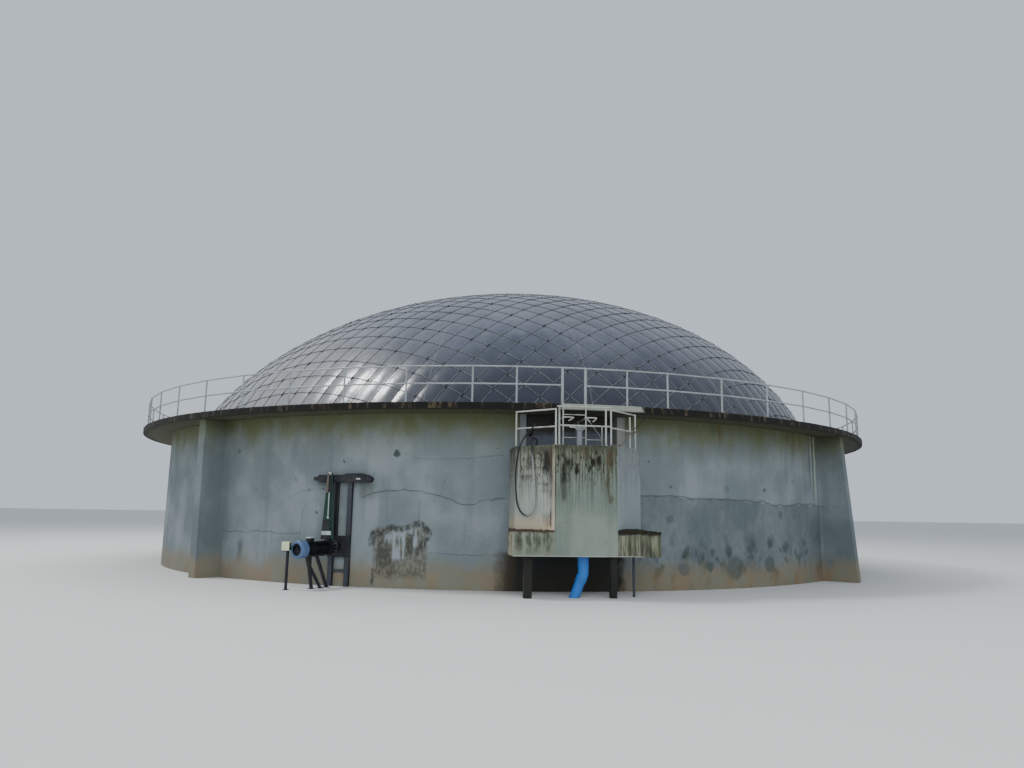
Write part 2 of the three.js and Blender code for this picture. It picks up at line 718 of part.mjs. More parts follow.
// Outlet chamber: a half-octagon bay on a raised platform, open at its back to the tank's wall
function buildChamber() {
  const ledgeBack = -CHAMBER_FRONT + LEDGE_DEPTH;
  const backLine = -WALL_RADIUS + OVERRUN;
  const platform = [
    block([PLATFORM_LEFT, -CHAMBER_FRONT, PLATFORM_BOTTOM], [PLATFORM_RIGHT, ledgeBack, PLATFORM_TOP]),
    block([-CHAMBER_HALF, ledgeBack, PLATFORM_BOTTOM], [CHAMBER_HALF, backLine, PLATFORM_TOP]),
    ...PLATFORM_LEGS.map(({ x, y, width }) =>
      block([x - width / 2, y - width / 2, 0], [x + width / 2, y + width / 2, PLATFORM_TOP]),
    ),
  ];
  addPart("chamber_platform", geometryOf(againstTank(join(platform))), "streakedConcrete");

  const wingEnd = CHAMBER_FRONT - (CHAMBER_HALF - CHAMBER_FRONT_HALF);
  const miter = CHAMBER_WALL * Math.tan(radians(22.5));
  const innerFront = CHAMBER_FRONT - CHAMBER_WALL;
  const innerFrontHalf = CHAMBER_FRONT_HALF - miter;
  const innerHalf = CHAMBER_HALF - CHAMBER_WALL;
  const innerWingEnd = wingEnd - miter;
  const outline = (pairs) => pairs.map(([x, y]) => new THREE.Vector2(x, y));

  const front = outline([
    [-CHAMBER_FRONT_HALF, -CHAMBER_FRONT],
    [CHAMBER_FRONT_HALF, -CHAMBER_FRONT],
    [innerFrontHalf, -innerFront],
    [-innerFrontHalf, -innerFront],
  ]);
  addPart("chamber_front_wall", prism(front, PLATFORM_TOP, CHAMBER_TOP), "streakedConcrete");

  const wing = (side) =>
    outline(
      [
        [CHAMBER_FRONT_HALF + JOINT_GAP, -CHAMBER_FRONT + JOINT_GAP],
        [CHAMBER_HALF, -wingEnd],
        [CHAMBER_HALF, backLine],
        [innerHalf, backLine],
        [innerHalf, -innerWingEnd],
        [innerFrontHalf + JOINT_GAP, -innerFront + JOINT_GAP],
      ].map(([x, y]) => [side * x, y]),
    );
  for (const [name, side] of [
    ["chamber_left_wall", -1],
    ["chamber_right_wall", 1],
  ]) {
    const solid = solidOf(prism(wing(side), PLATFORM_TOP, CHAMBER_TOP));
    addPart(name, geometryOf(againstTank(solid)), "streakedConcrete");
  }

  const deckHalf = innerHalf - JOINT_GAP;
  const deck = outline([
    [-innerFrontHalf, -innerFront + JOINT_GAP * 2],
    [innerFrontHalf, -innerFront + JOINT_GAP * 2],
    [deckHalf, -innerWingEnd + JOINT_GAP],
    [deckHalf, backLine],
    [-deckHalf, backLine],
    [-deckHalf, -innerWingEnd + JOINT_GAP],
  ]);
  const glandTop = CHAMBER_TOP + HOSE_GLAND_LENGTH;
  const deckSlab = join([
    prism(deck, CHAMBER_TOP - CHAMBER_DECK_THICKNESS, CHAMBER_TOP),
    roundBar(
      [HOSE_END.x, HOSE_END.y, CHAMBER_TOP - HOSE_GLAND_ROOT],
      [HOSE_END.x, HOSE_END.y, glandTop],
      HOSE_GLAND_RADIUS,
    ),
  ]);
  addPart("chamber_deck", geometryOf(againstTank(deckSlab)), "concrete");
}

// Opening above the deck: two jambs that stand a little proud of the wall, and a closing panel
function buildOpening() {
  const innerRadius = WALL_RADIUS - WALL_THICKNESS;
  const proudRadius = WALL_RADIUS + JAMB_PROUD;
  const jamb = (start, end) =>
    ringStretch(innerRadius, proudRadius, start, end, CHAMBER_TOP, WALL_HEIGHT);
  addPart("opening_left_jamb", jamb(OPENING_LEFT, JAMB_LEFT), "streakedConcrete");
  addPart("opening_right_jamb", jamb(JAMB_RIGHT, OPENING_RIGHT), "streakedConcrete");
  const panel = ringStretch(
    OPENING_PANEL_RADIUS - OPENING_PANEL_THICKNESS,
    OPENING_PANEL_RADIUS,
    JAMB_LEFT,
    JAMB_RIGHT,
    CHAMBER_TOP,
    WALL_HEIGHT,
  );
  const glandStart = pointAt(OPENING_PANEL_RADIUS - HOSE_GLAND_ROOT, HOSE_START.angle);
  const glandEnd = pointAt(OPENING_PANEL_RADIUS + HOSE_GLAND_LENGTH, HOSE_START.angle);
  const gland = roundBar(
    [glandStart.x, glandStart.y, HOSE_START.height],
    [glandEnd.x, glandEnd.y, HOSE_START.height],
    HOSE_GLAND_RADIUS,
  );
  addPart("opening_panel", geometryOf(join([panel, gland])), "darkSteel");
}

// A square post on the chamber's deck
function chamberPost([x, y], top, width) {
  return block([x - width / 2, y - width / 2, CHAMBER_TOP], [x + width / 2, y + width / 2, top]);
}

// Guardrail of the chamber: a panel over each of the bay's three sides
function buildChamberGuardrail() {
  for (const { name, ends, shortPosts, top, rails } of CHAMBER_RAIL_PANELS) {
    const [start, end] = ends.map(([x, y]) => new THREE.Vector2(x, y));
    const along = end.clone().sub(start).normalize();
    const uprights = [
      ...ends.map((place) => chamberPost(place, top, CHAMBER_POST_WIDTH)),
      ...shortPosts.map(([x, y, height]) => chamberPost([x, y], height, CHAMBER_POST_WIDTH)),
    ];
    const bars = rails.map(({ level, before, after }) => {
      const low = start.clone().addScaledVector(along, -before);
      const high = end.clone().addScaledVector(along, after);
      return bar([low.x, low.y, level], [high.x, high.y, level], CHAMBER_RAIL_WIDTH);
    });
    addPart(name, geometryOf(join([...uprights, ...bars])), "galvanised");
  }
}

// Ladder from the chamber's deck to the walkway's gate, with two arms back to the opening's panel
function buildLadder() {
  const line = -LADDER_RADIUS;
  const pieces = [];
  const behind = -OPENING_PANEL_RADIUS + HOSE_GLAND_ROOT;
  for (const x of [LADDER_LEFT, LADDER_RIGHT]) {
    const arm = LADDER_ARM_HEIGHT;
    pieces.push(bar([x, line, CHAMBER_TOP], [x, line, WALKWAY_TOP], LADDER_STILE_WIDTH));
    pieces.push(bar([x, line, arm], [x, behind, arm], LADDER_STILE_WIDTH));
    pieces.push(
      bar([x, behind - LADDER_BRACE_REACH, arm], [x, behind, arm - LADDER_BRACE_DROP], LADDER_RUNG_WIDTH),
    );
  }
  const firstRung = CHAMBER_TOP + LADDER_FIRST_RUNG;
  for (let height = firstRung; height < WALL_HEIGHT; height += LADDER_RUNG_SPACING) {
    pieces.push(bar([LADDER_LEFT, line, height], [LADDER_RIGHT, line, height], LADDER_RUNG_WIDTH));
  }
  const side = LADDER_SIDE_POST;
  pieces.push(chamberPost([side.x, line], side.top, LADDER_STILE_WIDTH));
  pieces.push(bar([LADDER_RIGHT, line, side.bar], [side.x, line, side.bar], LADDER_RUNG_WIDTH));
  const panelFace = facetedCircle(OPENING_PANEL_RADIUS + JOINT_GAP);
  const behindPanel = solidOf(prism(panelFace, 0, WALL_HEIGHT + OVERRUN));
  addPart("chamber_ladder", geometryOf(join(pieces).subtract(behindPanel)), "galvanised");
}

// Pipes of the chamber: a vent standpipe on the deck, and an outlet that slants down from the platform
function buildChamberPipes() {
  const { x, y, radius, top, bellRadius, bellHeight } = STANDPIPE;
  const branch = STANDPIPE_BRANCH;
  const standpipe = [
    roundBar([x, y, CHAMBER_TOP], [x, y, top], radius, 20),
    roundBar([x, y, top - bellHeight], [x, y, top], bellRadius, 20),
    roundBar([x, y, branch.start], [x + branch.reach, y, branch.end], branch.radius),
  ];
  addPart("chamber_standpipe", geometryOf(join(standpipe)), "whitePlastic");

  const { bend, foot } = OUTLET_PIPE;
  const outlet = join([
    roundBar([bend[0], bend[1], PLATFORM_BOTTOM], bend, OUTLET_SOCKET_RADIUS, 20),
    roundBar(bend, [...foot, -OUTLET_PIPE.radius / 2], OUTLET_PIPE.radius, 20),
    new THREE.SphereGeometry(OUTLET_SOCKET_RADIUS, 20, 10).translate(...bend),
  ]);
  addPart("chamber_outlet_pipe", geometryOf(outlet.subtract(ground)), "bluePlastic");
}

// Mixer: a welded frame on the wall carries a gearbox, a motor and its fan cowl.
// Its pieces are drawn with the frame in front of the axis and then turned to the mixer's angle.
function atMixer(geometry) {
  return geometry.rotateZ(radians(MIXER_ANGLE));
}

// A place on the mixer's own axis, at a distance from the wall along it
function onMixerAxis(distance, side = 0, up = 0) {
  const turn = radians(MIXER_AXIS_TURN);
  const across = new THREE.Vector2(Math.cos(turn), Math.sin(turn));
  const outward = new THREE.Vector2(Math.sin(turn), -Math.cos(turn));
  return [
    MIXER_AXIS_SHIFT + outward.x * distance + across.x * side,
    -WALL_RADIUS + outward.y * distance + across.y * side,
    MIXER_AXIS_HEIGHT - distance * Math.tan(radians(MIXER_AXIS_TILT)) + up,
  ];
}

// An outline in the frame's upright plane, as thick as its depth from the tank's wall
function onFrame(outline, depth) {
  const shape = new THREE.Shape(outline.map(([x, z]) => new THREE.Vector2(x, z)));
  const geometry = new THREE.ExtrudeGeometry(shape, { depth: depth + OVERRUN, bevelEnabled: false });
  return geometry.rotateX(Math.PI / 2).translate(0, -WALL_RADIUS + OVERRUN, 0);
}

function frameBar(left, right, bottom, top, depth) {
  return onFrame(
    [
      [left, bottom],
      [right, bottom],
      [right, top],
      [left, top],
    ],
    depth,
  );
}

function buildMixer() {
  const halfChannel = CHANNEL_WIDTH / 2;
  const leftChannel = FRAME_SHIFT - CHANNEL_SPACING / 2;
  const rightChannel = FRAME_SHIFT + CHANNEL_SPACING / 2;
  const beamMiddle = (BEAM_OUTLINE[2][1] + BEAM_OUTLINE[10][1]) / 2;
  const frame = join([
    ...[leftChannel, rightChannel].map((x) =>
      frameBar(x - halfChannel, x + halfChannel, 0, beamMiddle, CHANNEL_DEPTH),
    ),
    onFrame(BEAM_OUTLINE, BEAM_DEPTH),
    frameBar(PLATE_LEFT, PLATE_RIGHT, PLATE_BOTTOM, PLATE_TOP, PLATE_DEPTH),
    frameBar(
      leftChannel,
      rightChannel,
      CROSSBAR_HEIGHT - CROSSBAR_WIDTH / 2,
      CROSSBAR_HEIGHT + CROSSBAR_WIDTH / 2,
      FLANK_DEPTH,
    ),
    frameBar(leftChannel, FLANK_RIGHT, PLATE_BOTTOM, beamMiddle, FLANK_DEPTH),
  ]);
  const turnedFrame = solidOf(atMixer(geometryOf(frame)));
  addPart("mixer_frame", geometryOf(againstTank(turnedFrame)), "darkSteel");

  const gearboxEnd = GEARBOX_START + GEARBOX_LENGTH;
  const motorEnd = gearboxEnd + MOTOR_LENGTH;
  const gearbox = join([
    roundBar(onMixerAxis(0), onMixerAxis(gearboxEnd), NECK_RADIUS, 24),
    roundBar(onMixerAxis(GEARBOX_START), onMixerAxis(gearboxEnd), GEARBOX_RADIUS, 32),
  ]);
  const plateFace = -WALL_RADIUS - PLATE_DEPTH - JOINT_GAP;
  const behindPlate = solidOf(block([-WALL_RADIUS, plateFace, 0], [WALL_RADIUS, 0, WALL_HEIGHT]));
  addPart("mixer_gearbox", atMixer(geometryOf(gearbox.subtract(behindPlate))), "motorBlack");

  const box = TERMINAL_BOX;
  const boxCentre = onMixerAxis(box.middle, 0, box.top - box.height / 2);
  const terminalBox = new THREE.BoxGeometry(box.width, box.length, box.height);
  terminalBox.rotateZ(radians(MIXER_AXIS_TURN)).translate(...boxCentre);
  const motor = join([
    roundBar(onMixerAxis(gearboxEnd + JOINT_GAP), onMixerAxis(motorEnd), MOTOR_RADIUS, 28),
    terminalBox,
  ]);
  addPart("mixer_motor", atMixer(geometryOf(motor)), "motorBlack");

  const cowlStart = onMixerAxis(motorEnd + JOINT_GAP);
  const cowlEnd = onMixerAxis(motorEnd + COWL_LENGTH);
  const cowl = roundBar(cowlStart, cowlEnd, COWL_RADIUS, 32);
  addPart("mixer_fan_cowl", atMixer(geometryOf(solidOf(cowl))), "motorBlue");

  const saddle = bar(
    onMixerAxis(SADDLE.start, 0, -SADDLE.drop),
    onMixerAxis(SADDLE.end, 0, -SADDLE.drop),
    SADDLE.width,
    SADDLE.thickness,
  );
  const onLeg = ([distance, height]) => {
    const [x, y] = onMixerAxis(distance);
    return [x, y, height === 0 ? -LEG_WIDTH : height];
  };
  const legs = LEGS.flatMap(([head, knee, foot]) => [
    bar(onLeg(head), onLeg(knee), LEG_WIDTH),
    bar(onLeg(knee), onLeg(foot), LEG_WIDTH),
    new THREE.SphereGeometry(LEG_WIDTH / 2, 12, 8).translate(...onLeg(knee)),
  ]);
  const motorRoom = solidOf(
    roundBar(onMixerAxis(0), onMixerAxis(motorEnd + JOINT_GAP), MOTOR_RADIUS + JOINT_GAP, 28),
  );
  const standing = join([saddle, ...legs]).subtract(ground).subtract(motorRoom);
  addPart("mixer_legs", atMixer(geometryOf(standing)), "darkSteel");

  buildMixerStay(gearboxEnd);
}

// Tapered stay from the top of the gearbox up to the frame's beam
function buildMixerStay(gearboxEnd) {
  const beamFace = -WALL_RADIUS - BEAM_DEPTH - JOINT_GAP;
  const section = (width, [x, y, z]) => {
    const halfWidth = width / 2;
    const halfDepth = STAY_THICKNESS / 2;
    return [
      [x - halfWidth, y - halfDepth, z],
      [x + halfWidth, y - halfDepth, z],
      [x + halfWidth, y + halfDepth, z],
      [x - halfWidth, y + halfDepth, z],
    ];
  };
  const low = section(STAY_FOOT.width, onMixerAxis(STAY_FOOT.distance));
  const high = section(STAY_HEAD.width, [STAY_HEAD.x, beamFace - STAY_THICKNESS / 2, STAY_HEAD.z]);
  const geometry = new THREE.BufferGeometry();
  geometry.setAttribute("position", new THREE.Float32BufferAttribute([...low, ...high].flat(), 3));
  const sides = [0, 1, 2, 3].flatMap((corner) => {
    const next = (corner + 1) % 4;
    return [corner, next, next + 4, corner, next + 4, corner + 4];
  });
  geometry.setIndex([0, 2, 1, 0, 3, 2, 4, 5, 6, 4, 6, 7, ...sides]);
  const gearboxRoom = roundBar(
    onMixerAxis(0),
    onMixerAxis(gearboxEnd + STAY_THICKNESS),
    GEARBOX_RADIUS + JOINT_GAP,
    32,
  );
  const belowGearbox = block(
    [-WALL_RADIUS, -CHAMBER_FRONT, 0],
    [WALL_RADIUS, 0, MIXER_AXIS_HEIGHT],
  );
  const stay = solidOf(geometry).subtract(join([gearboxRoom, belowGearbox]));
  addPart("mixer_stay", atMixer(geometryOf(stay)), "darkSteel");
}

// Control box on its own post beside the mixer
function buildControlBox() {
  const { angle, radius, width, depth, height, bottom } = CONTROL_BOX;
  const half = CONTROL_POST_WIDTH / 2;
  const postTop = bottom + height - CONTROL_POST_COVER;
  const post = block([-half, -radius - half, 0], [half, -radius + half, postTop]);
  addPart("control_post", post, "darkSteel", angle);
  const boxFront = -radius - half - JOINT_GAP;
  const box = block([-width / 2, boxFront - depth, bottom], [width / 2, boxFront, bottom + height]);
  addPart("control_box", box, "creamPlastic", angle);
}

// Hose that hangs in a loop over the chamber's left wing
function buildHose() {
  const startRadius = OPENING_PANEL_RADIUS + HOSE_GLAND_LENGTH + JOINT_GAP;
  const endHeight = CHAMBER_TOP + HOSE_GLAND_LENGTH + JOINT_GAP;
  const leadingOut = [startRadius, startRadius + HOSE_RADIUS * HOSE_LEAD].map((radius) => {
    const place = pointAt(radius, HOSE_START.angle);
    return [place.x, place.y, HOSE_START.height];
  });
  const leadingIn = [endHeight + HOSE_RADIUS * HOSE_LEAD, endHeight].map((height) => {
    return [HOSE_END.x, HOSE_END.y, height];
  });
  const route = [...leadingOut, ...HOSE_ROUTE, ...leadingIn];
  const curve = new THREE.CatmullRomCurve3(route.map((point) => new THREE.Vector3(...point)));
  const section = new THREE.Shape();
  section.absarc(0, 0, HOSE_RADIUS, 0, Math.PI * 2);
  const tube = new THREE.ExtrudeGeometry(section, {
    curveSegments: 4,
    steps: HOSE_STEPS,
    extrudePath: curve,
    bevelEnabled: false,
  });
  addPart("chamber_hose", geometryOf(solidOf(tube)), "rubber");
}

buildTank();
buildGuardrails();
buildDome();
buildNet();
buildChamber();
buildOpening();
buildChamberGuardrail();
buildLadder();
buildChamberPipes();
buildMixer();
buildControlBox();
buildHose();

export default model;
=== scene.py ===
"""Looks of a biogas digester: a round concrete tank under an inflated gas dome.

Metres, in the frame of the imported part. The origin is on the tank's axis at ground level, +Z is up
and -Y points from the tank towards its outlet chamber. Bearings are degrees from -Y towards +X, and
an arc is a distance along the tank's wall from the bearing 0.
"""

import logging
import math
from collections.abc import Iterable, Sequence
from dataclasses import dataclass
from enum import Enum
from functools import cached_property
from typing import Any

import bmesh
import bpy
from mathutils import Euler, Matrix, Vector, noise


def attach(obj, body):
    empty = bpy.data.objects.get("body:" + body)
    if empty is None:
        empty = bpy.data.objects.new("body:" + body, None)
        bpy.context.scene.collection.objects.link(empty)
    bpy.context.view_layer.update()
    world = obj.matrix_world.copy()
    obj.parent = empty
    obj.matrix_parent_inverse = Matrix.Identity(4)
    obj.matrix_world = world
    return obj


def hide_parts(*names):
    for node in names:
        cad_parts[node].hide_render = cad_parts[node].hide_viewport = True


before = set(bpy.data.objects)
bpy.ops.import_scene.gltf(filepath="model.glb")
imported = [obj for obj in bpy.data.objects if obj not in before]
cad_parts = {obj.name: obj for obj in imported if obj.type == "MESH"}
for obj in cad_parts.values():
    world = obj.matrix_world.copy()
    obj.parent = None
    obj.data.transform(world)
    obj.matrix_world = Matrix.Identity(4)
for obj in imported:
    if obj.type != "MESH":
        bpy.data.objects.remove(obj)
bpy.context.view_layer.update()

LOG = logging.getLogger("digester")
Colour = tuple[float, float, float, float]
Pair = tuple[float, float]
Triple = tuple[float, float, float]
Places = Sequence[Sequence[float]]

# Sizes that several parts share

WALL_RADIUS = 11.87
WALL_THICKNESS = 0.3
WALL_TOP = 4.09
DECK_TOP = 3.25
WALKWAY_TOP = 4.25
OPENING = (-5.95, 6.4)
PANEL_RADIUS = 11.65
SEAT_GAP = 0.0003
SHARP_ANGLE = math.radians(38.0)


class Slot(Enum):
    """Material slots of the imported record."""

    CONCRETE = "concrete"
    MOSSY_CONCRETE = "mossy_concrete"
    STREAKED_CONCRETE = "streaked_concrete"
    MEMBRANE = "membrane"
    ROPE = "rope"
    GALVANISED = "galvanised"
    DARK_STEEL = "dark_steel"
    MOTOR_BLUE = "motor_blue"
    MOTOR_BLACK = "motor_black"
    CREAM_PLASTIC = "cream_plastic"
    BLUE_PLASTIC = "blue_plastic"
    WHITE_PLASTIC = "white_plastic"
    RUBBER = "rubber"


def srgb(*levels: int) -> Colour:
    """Linear colour of a display colour, whose three levels go from 0 to 255."""
    shares = [level / 255 for level in levels]
    return (*[s / 12.92 if s <= 0.04045 else ((s + 0.055) / 1.055) ** 2.4 for s in shares], 1.0)


def bearing_point(radius: float, bearing: float, height: float = 0.0) -> Vector:
    """Point at a radius, a bearing and a height."""
    angle = math.radians(bearing)
    return Vector((radius * math.sin(angle), -radius * math.cos(angle), height))


# Node trees


class Value:
    """A node's output socket, on which arithmetic adds Math nodes to its tree."""

    def __init__(self, graph: "Graph", socket: bpy.types.NodeSocket) -> None:
        """Wraps a socket of a graph."""
        self.graph = graph
        self.socket = socket

    def output(self, name: str | int) -> "Value":
        """Another output of the same node."""
        return Value(self.graph, self.socket.node.outputs[name])

    def math(self, operation: str, *others: "float | Value") -> "Value":
        """Math node on this value and the others."""
        return self.graph.math(operation, self, *others)

    def __add__(self, other: "float | Value") -> "Value":
        """Sum."""
        return self.math("ADD", other)

    __radd__ = __add__

    def __sub__(self, other: "float | Value") -> "Value":
        """Difference."""
        return self.math("SUBTRACT", other)

    def __rsub__(self, other: float) -> "Value":
        """Difference from a number."""
        return self.graph.math("SUBTRACT", other, self)

    def __mul__(self, other: "float | Value") -> "Value":
        """Product."""
        return self.math("MULTIPLY", other)

    __rmul__ = __mul__

    def __truediv__(self, other: "float | Value") -> "Value":
        """Quotient."""
        return self.math("DIVIDE", other)

    def rise(self, low: float, high: float) -> "Value":
        """Smooth step from 0 at low to 1 at high."""
        limits = {"Value": self, "From Min": low, "From Max": high}
        return self.graph.add("ShaderNodeMapRange", {"interpolation_type": "SMOOTHSTEP"}, limits)

    def band(self, low: float, high: float, edge: float) -> "Value":
        """1 between low and high, with smooth edges of a half width."""
        return self.rise(low - edge, low + edge) * self.rise(high + edge, high - edge)


class Graph:
    """A node tree that is written as expressions."""

    def start(self, tree: bpy.types.NodeTree) -> None:
        """Starts from an emptied tree."""
        self.tree = tree
        tree.nodes.clear()

    def add(
        self,
        kind: str,
        settings: dict[str, Any] | None = None,
        inputs: dict[str | int, Any] | None = None,
        output: str | int = 0,
    ) -> Value | None:
        """Adds a node.

        Args:
            kind: the node's type.
            settings: its properties, set first; "curve" holds a Float Curve's points.
            inputs: numbers, values or lists of values for its sockets, by name or index.
            output: the socket that is returned.

        Returns:
            The output as a value, if the node has one.
        """
        node = self.tree.nodes.new(kind)
        for name, setting in (settings or {}).items():
            if name == "curve":
                self._bend(node, setting)
            else:
                setattr(node, name, setting)
        for key, given in (inputs or {}).items():
            for item in given if isinstance(given, list) else [given]:
                if isinstance(item, Value):
                    self.tree.links.new(item.socket, node.inputs[key])
                else:
                    node.inputs[key].default_value = item
        return Value(self, node.outputs[output]) if node.outputs else None

    @staticmethod
    def _bend(node: bpy.types.Node, points: Sequence[Pair]) -> None:
        """Lays a Float Curve through points.

        Args:
            node: the node.
            points: places between 0 and 1, in order.
        """
        line = node.mapping.curves[0]
        line.points[0].location = points[0]
        line.points[-1].location = points[-1]
        for across, up in points[1:-1]:
            line.points.new(across, up)
        node.mapping.update()

    def math(self, operation: str, *operands: float | Value) -> Value:
        """Math node on numbers and values."""
        return self.add("ShaderNodeMath", {"operation": operation}, dict(enumerate(operands)))

    def vector(self, operation: str, *operands: Sequence[float] | Value, output: str | int = 0) -> Value:
        """Vector Math node on vectors."""
        return self.add("ShaderNodeVectorMath", {"operation": operation}, dict(enumerate(operands)), output)

    def combine(self, x: float | Value, y: float | Value, z: float | Value) -> Value:
        """Vector of three numbers or values."""
        return self.add("ShaderNodeCombineXYZ", inputs={0: x, 1: y, 2: z})

    def split(self, vector: Value) -> tuple[Value, Value, Value]:
        """The three numbers of a vector."""
        parts = self.add("ShaderNodeSeparateXYZ", inputs={0: vector})
        return parts, parts.output(1), parts.output(2)


class Growth(Graph):
    """Geometry Nodes tree with named inputs, whose result is turned into a plain mesh."""

    KINDS = {float: "NodeSocketFloat", int: "NodeSocketInt", tuple: "NodeSocketVector"}

    def __init__(self, name: str, sizes: dict[str, float | int | Triple]) -> None:
        """Starts a tree.

        Args:
            name: the tree's name.
            sizes: its inputs, by name.
        """
        self.start(bpy.data.node_groups.new(name, "GeometryNodeTree"))
        self.sizes = sizes
        sockets = self.tree.interface
        sockets.new_socket("Geometry", in_out="OUTPUT", socket_type="NodeSocketGeometry")
        sockets.new_socket("Geometry", in_out="INPUT", socket_type="NodeSocketGeometry")
        for label, size in sizes.items():
            sockets.new_socket(label, in_out="INPUT", socket_type=self.KINDS[type(size)])
        self.base = self.add("NodeGroupInput")

    def size(self, label: str) -> Value:
        """One of the tree's named inputs."""
        return self.base.output(label)

    def here(self) -> Value:
        """Position of each point."""
        return self.add("GeometryNodeInputPosition")

    def stored(self, name: str, kind: str = "FLOAT") -> Value:
        """Named attribute of the geometry."""
        return self.add("GeometryNodeInputNamedAttribute", {"data_type": kind}, {"Name": name})

    def grid(self, side: float | Value, count: int | Value, offset: Triple) -> Value:
        """Square grid whose middle is moved by an offset."""
        sizes = {"Size X": side, "Size Y": side, "Vertices X": count, "Vertices Y": count}
        return self.set(self.add("GeometryNodeMeshGrid", {}, sizes), Offset=self.combine(*offset))

    def tube(self, curve: Value, radius: float | Value, sides: int) -> Value:
        """Tube of a round section along a curve."""
        circle = self.add("GeometryNodeCurvePrimitiveCircle", {}, {"Resolution": sides, "Radius": radius})
        return self.add("GeometryNodeCurveToMesh", {}, {0: curve, "Profile Curve": circle, "Fill Caps": True})

    def drum(self, radius: float, depth: float, sides: int, lift: float) -> Value:
        """Upright cylinder whose middle is lifted."""
        drum = self.add("GeometryNodeMeshCylinder", {}, {"Vertices": sides, "Radius": radius, "Depth": depth})
        return self.add("GeometryNodeTransform", {}, {"Geometry": drum, "Translation": (0, 0, lift)})

    def set(self, geometry: Value, **where: Value) -> Value:
        """Geometry moved by an Offset or to a Position."""
        return self.add("GeometryNodeSetPosition", {}, {"Geometry": geometry, **where})

    def cut(self, geometry: Value, selection: Value, **settings: str) -> Value:
        """Geometry without its selected points, or what the settings say."""
        return self.add("GeometryNodeDeleteGeometry", settings, {0: geometry, "Selection": selection})

    def within(self, geometry: Value, reach: Value) -> Value:
        """Points no further than a reach from the middle."""
        length = self.vector("LENGTH", self.here(), output="Value")
        return self.cut(geometry, length.math("GREATER_THAN", reach), domain="POINT")

    def copies(self, points: Value, item: Value, **settings: Any) -> Value:
        """An item on each point, with the node's Selection, Rotation and Scale as given."""
        return self.add("GeometryNodeInstanceOnPoints", {}, {"Points": points, "Instance": item, **settings})

    def grow(self, geometry: Value, finish: "Finish", base: bpy.types.Mesh | None = None) -> bpy.types.Mesh:
        """Closes the tree, runs it and keeps its result.

        Args:
            geometry: what the tree makes.
            finish: its finish.
            base: mesh that the tree starts from.

        Returns:
            A plain mesh.
        """
        real = self.add("GeometryNodeRealizeInstances", {}, {"Geometry": geometry})
        smooth = self.add("GeometryNodeSetShadeSmooth", {}, {"Geometry": real})
        dressed = self.add("GeometryNodeSetMaterial", {}, {"Geometry": smooth, "Material": finish.material})
        self.add("NodeGroupOutput", {}, {0: dressed})
        holder = linked("holder", base or bpy.data.meshes.new("holder"))
        modifier = holder.modifiers.new("growth", "NODES")
        modifier.node_group = self.tree
        for socket in self.tree.interface.items_tree:
            if socket.in_out == "INPUT" and socket.name in self.sizes:
                modifier[socket.identifier] = self.sizes[socket.name]
        grown = evaluated(holder)
        grown.set_sharp_from_angle(angle=SHARP_ANGLE)
        return grown


@dataclass
class Finish(Graph):
    """What a piece is made of: a Principled shader in the part's own coordinates, and its slot."""

    name: str
    slot: Slot | None = None

    @cached_property
    def material(self) -> bpy.types.Material:
        """The material, built when it is first asked for.

        Returns:
            The finished material.
        """
        made = bpy.data.materials.new(self.name)
        made.use_nodes = True
        self.start(made.node_tree)
        self.place = self.add("ShaderNodeTexCoord", output="Object")
        self.x, self.y, self.z = self.split(self.place)
        self.paint()
        return made

    def paint(self) -> None:
        """Adds the nodes between the coordinates and the shader: each kind of finish has its own."""
        raise NotImplementedError

    @cached_property
    def bearing(self) -> Value:
        """Bearing in radians."""
        return self.x.math("ARCTAN2", self.y * -1.0)

    @cached_property
    def outward(self) -> Value:
        """Distance from the tank's axis."""
        return (self.x * self.x + self.y * self.y).math("SQRT")

    def noise(self, level: float, upright: float, detail: float = 3.0, shift: float = 0.0) -> Value:
        """Noise around 0.5, with waves per metre along the level axes and up."""
        stretched = self.vector("MULTIPLY_ADD", self.place, (level, level, upright), (shift, shift, shift))
        return self.add("ShaderNodeTexNoise", {}, {"Vector": stretched, "Scale": 1.0, "Detail": detail})

    def mix(self, factor: float | Value, first: Colour | Value, second: Colour | Value) -> Value:
        """Colour between two colours."""
        return self.add("ShaderNodeMix", {"data_type": "RGBA"}, {0: factor, 6: first, 7: second}, 2)

    def lay(self, factor: float | Value, colour: Colour | Value) -> None:
        """Lays a colour over the colour so far."""
        self.colour = self.mix(factor, self.colour, colour)

    def shaded(self, factor: Value) -> None:
        """Makes the colour so far brighter or darker."""
        inputs = {0: self.colour, "Scale": factor}
        self.colour = self.add("ShaderNodeVectorMath", {"operation": "SCALE"}, inputs)

    def close(self, roughness: float | Value, height: Value, depth: float, **fixed: float) -> None:
        """Joins the colour, roughness and relief in the shader.

        Args:
            roughness: roughness.
            height: relief, from 0 to 1.
            depth: the relief's full height in metres.
            fixed: numbers for other sockets, with underscores for spaces.
        """
        relief = self.add("ShaderNodeBump", {}, {"Height": height, "Distance": depth, "Strength": 1.0})
        inputs = {"Base Color": self.colour, "Roughness": roughness, "Normal": relief}
        inputs |= {name.replace("_", " "): number for name, number in fixed.items()}
        self.add("ShaderNodeOutputMaterial", {}, {0: self.add("ShaderNodeBsdfPrincipled", {}, inputs)})


# Meshes


def linked(name: str, data: bpy.types.ID) -> bpy.types.Object:
    """New object in the scene."""
    made = bpy.data.objects.new(name, data)
    bpy.context.scene.collection.objects.link(made)
    return made


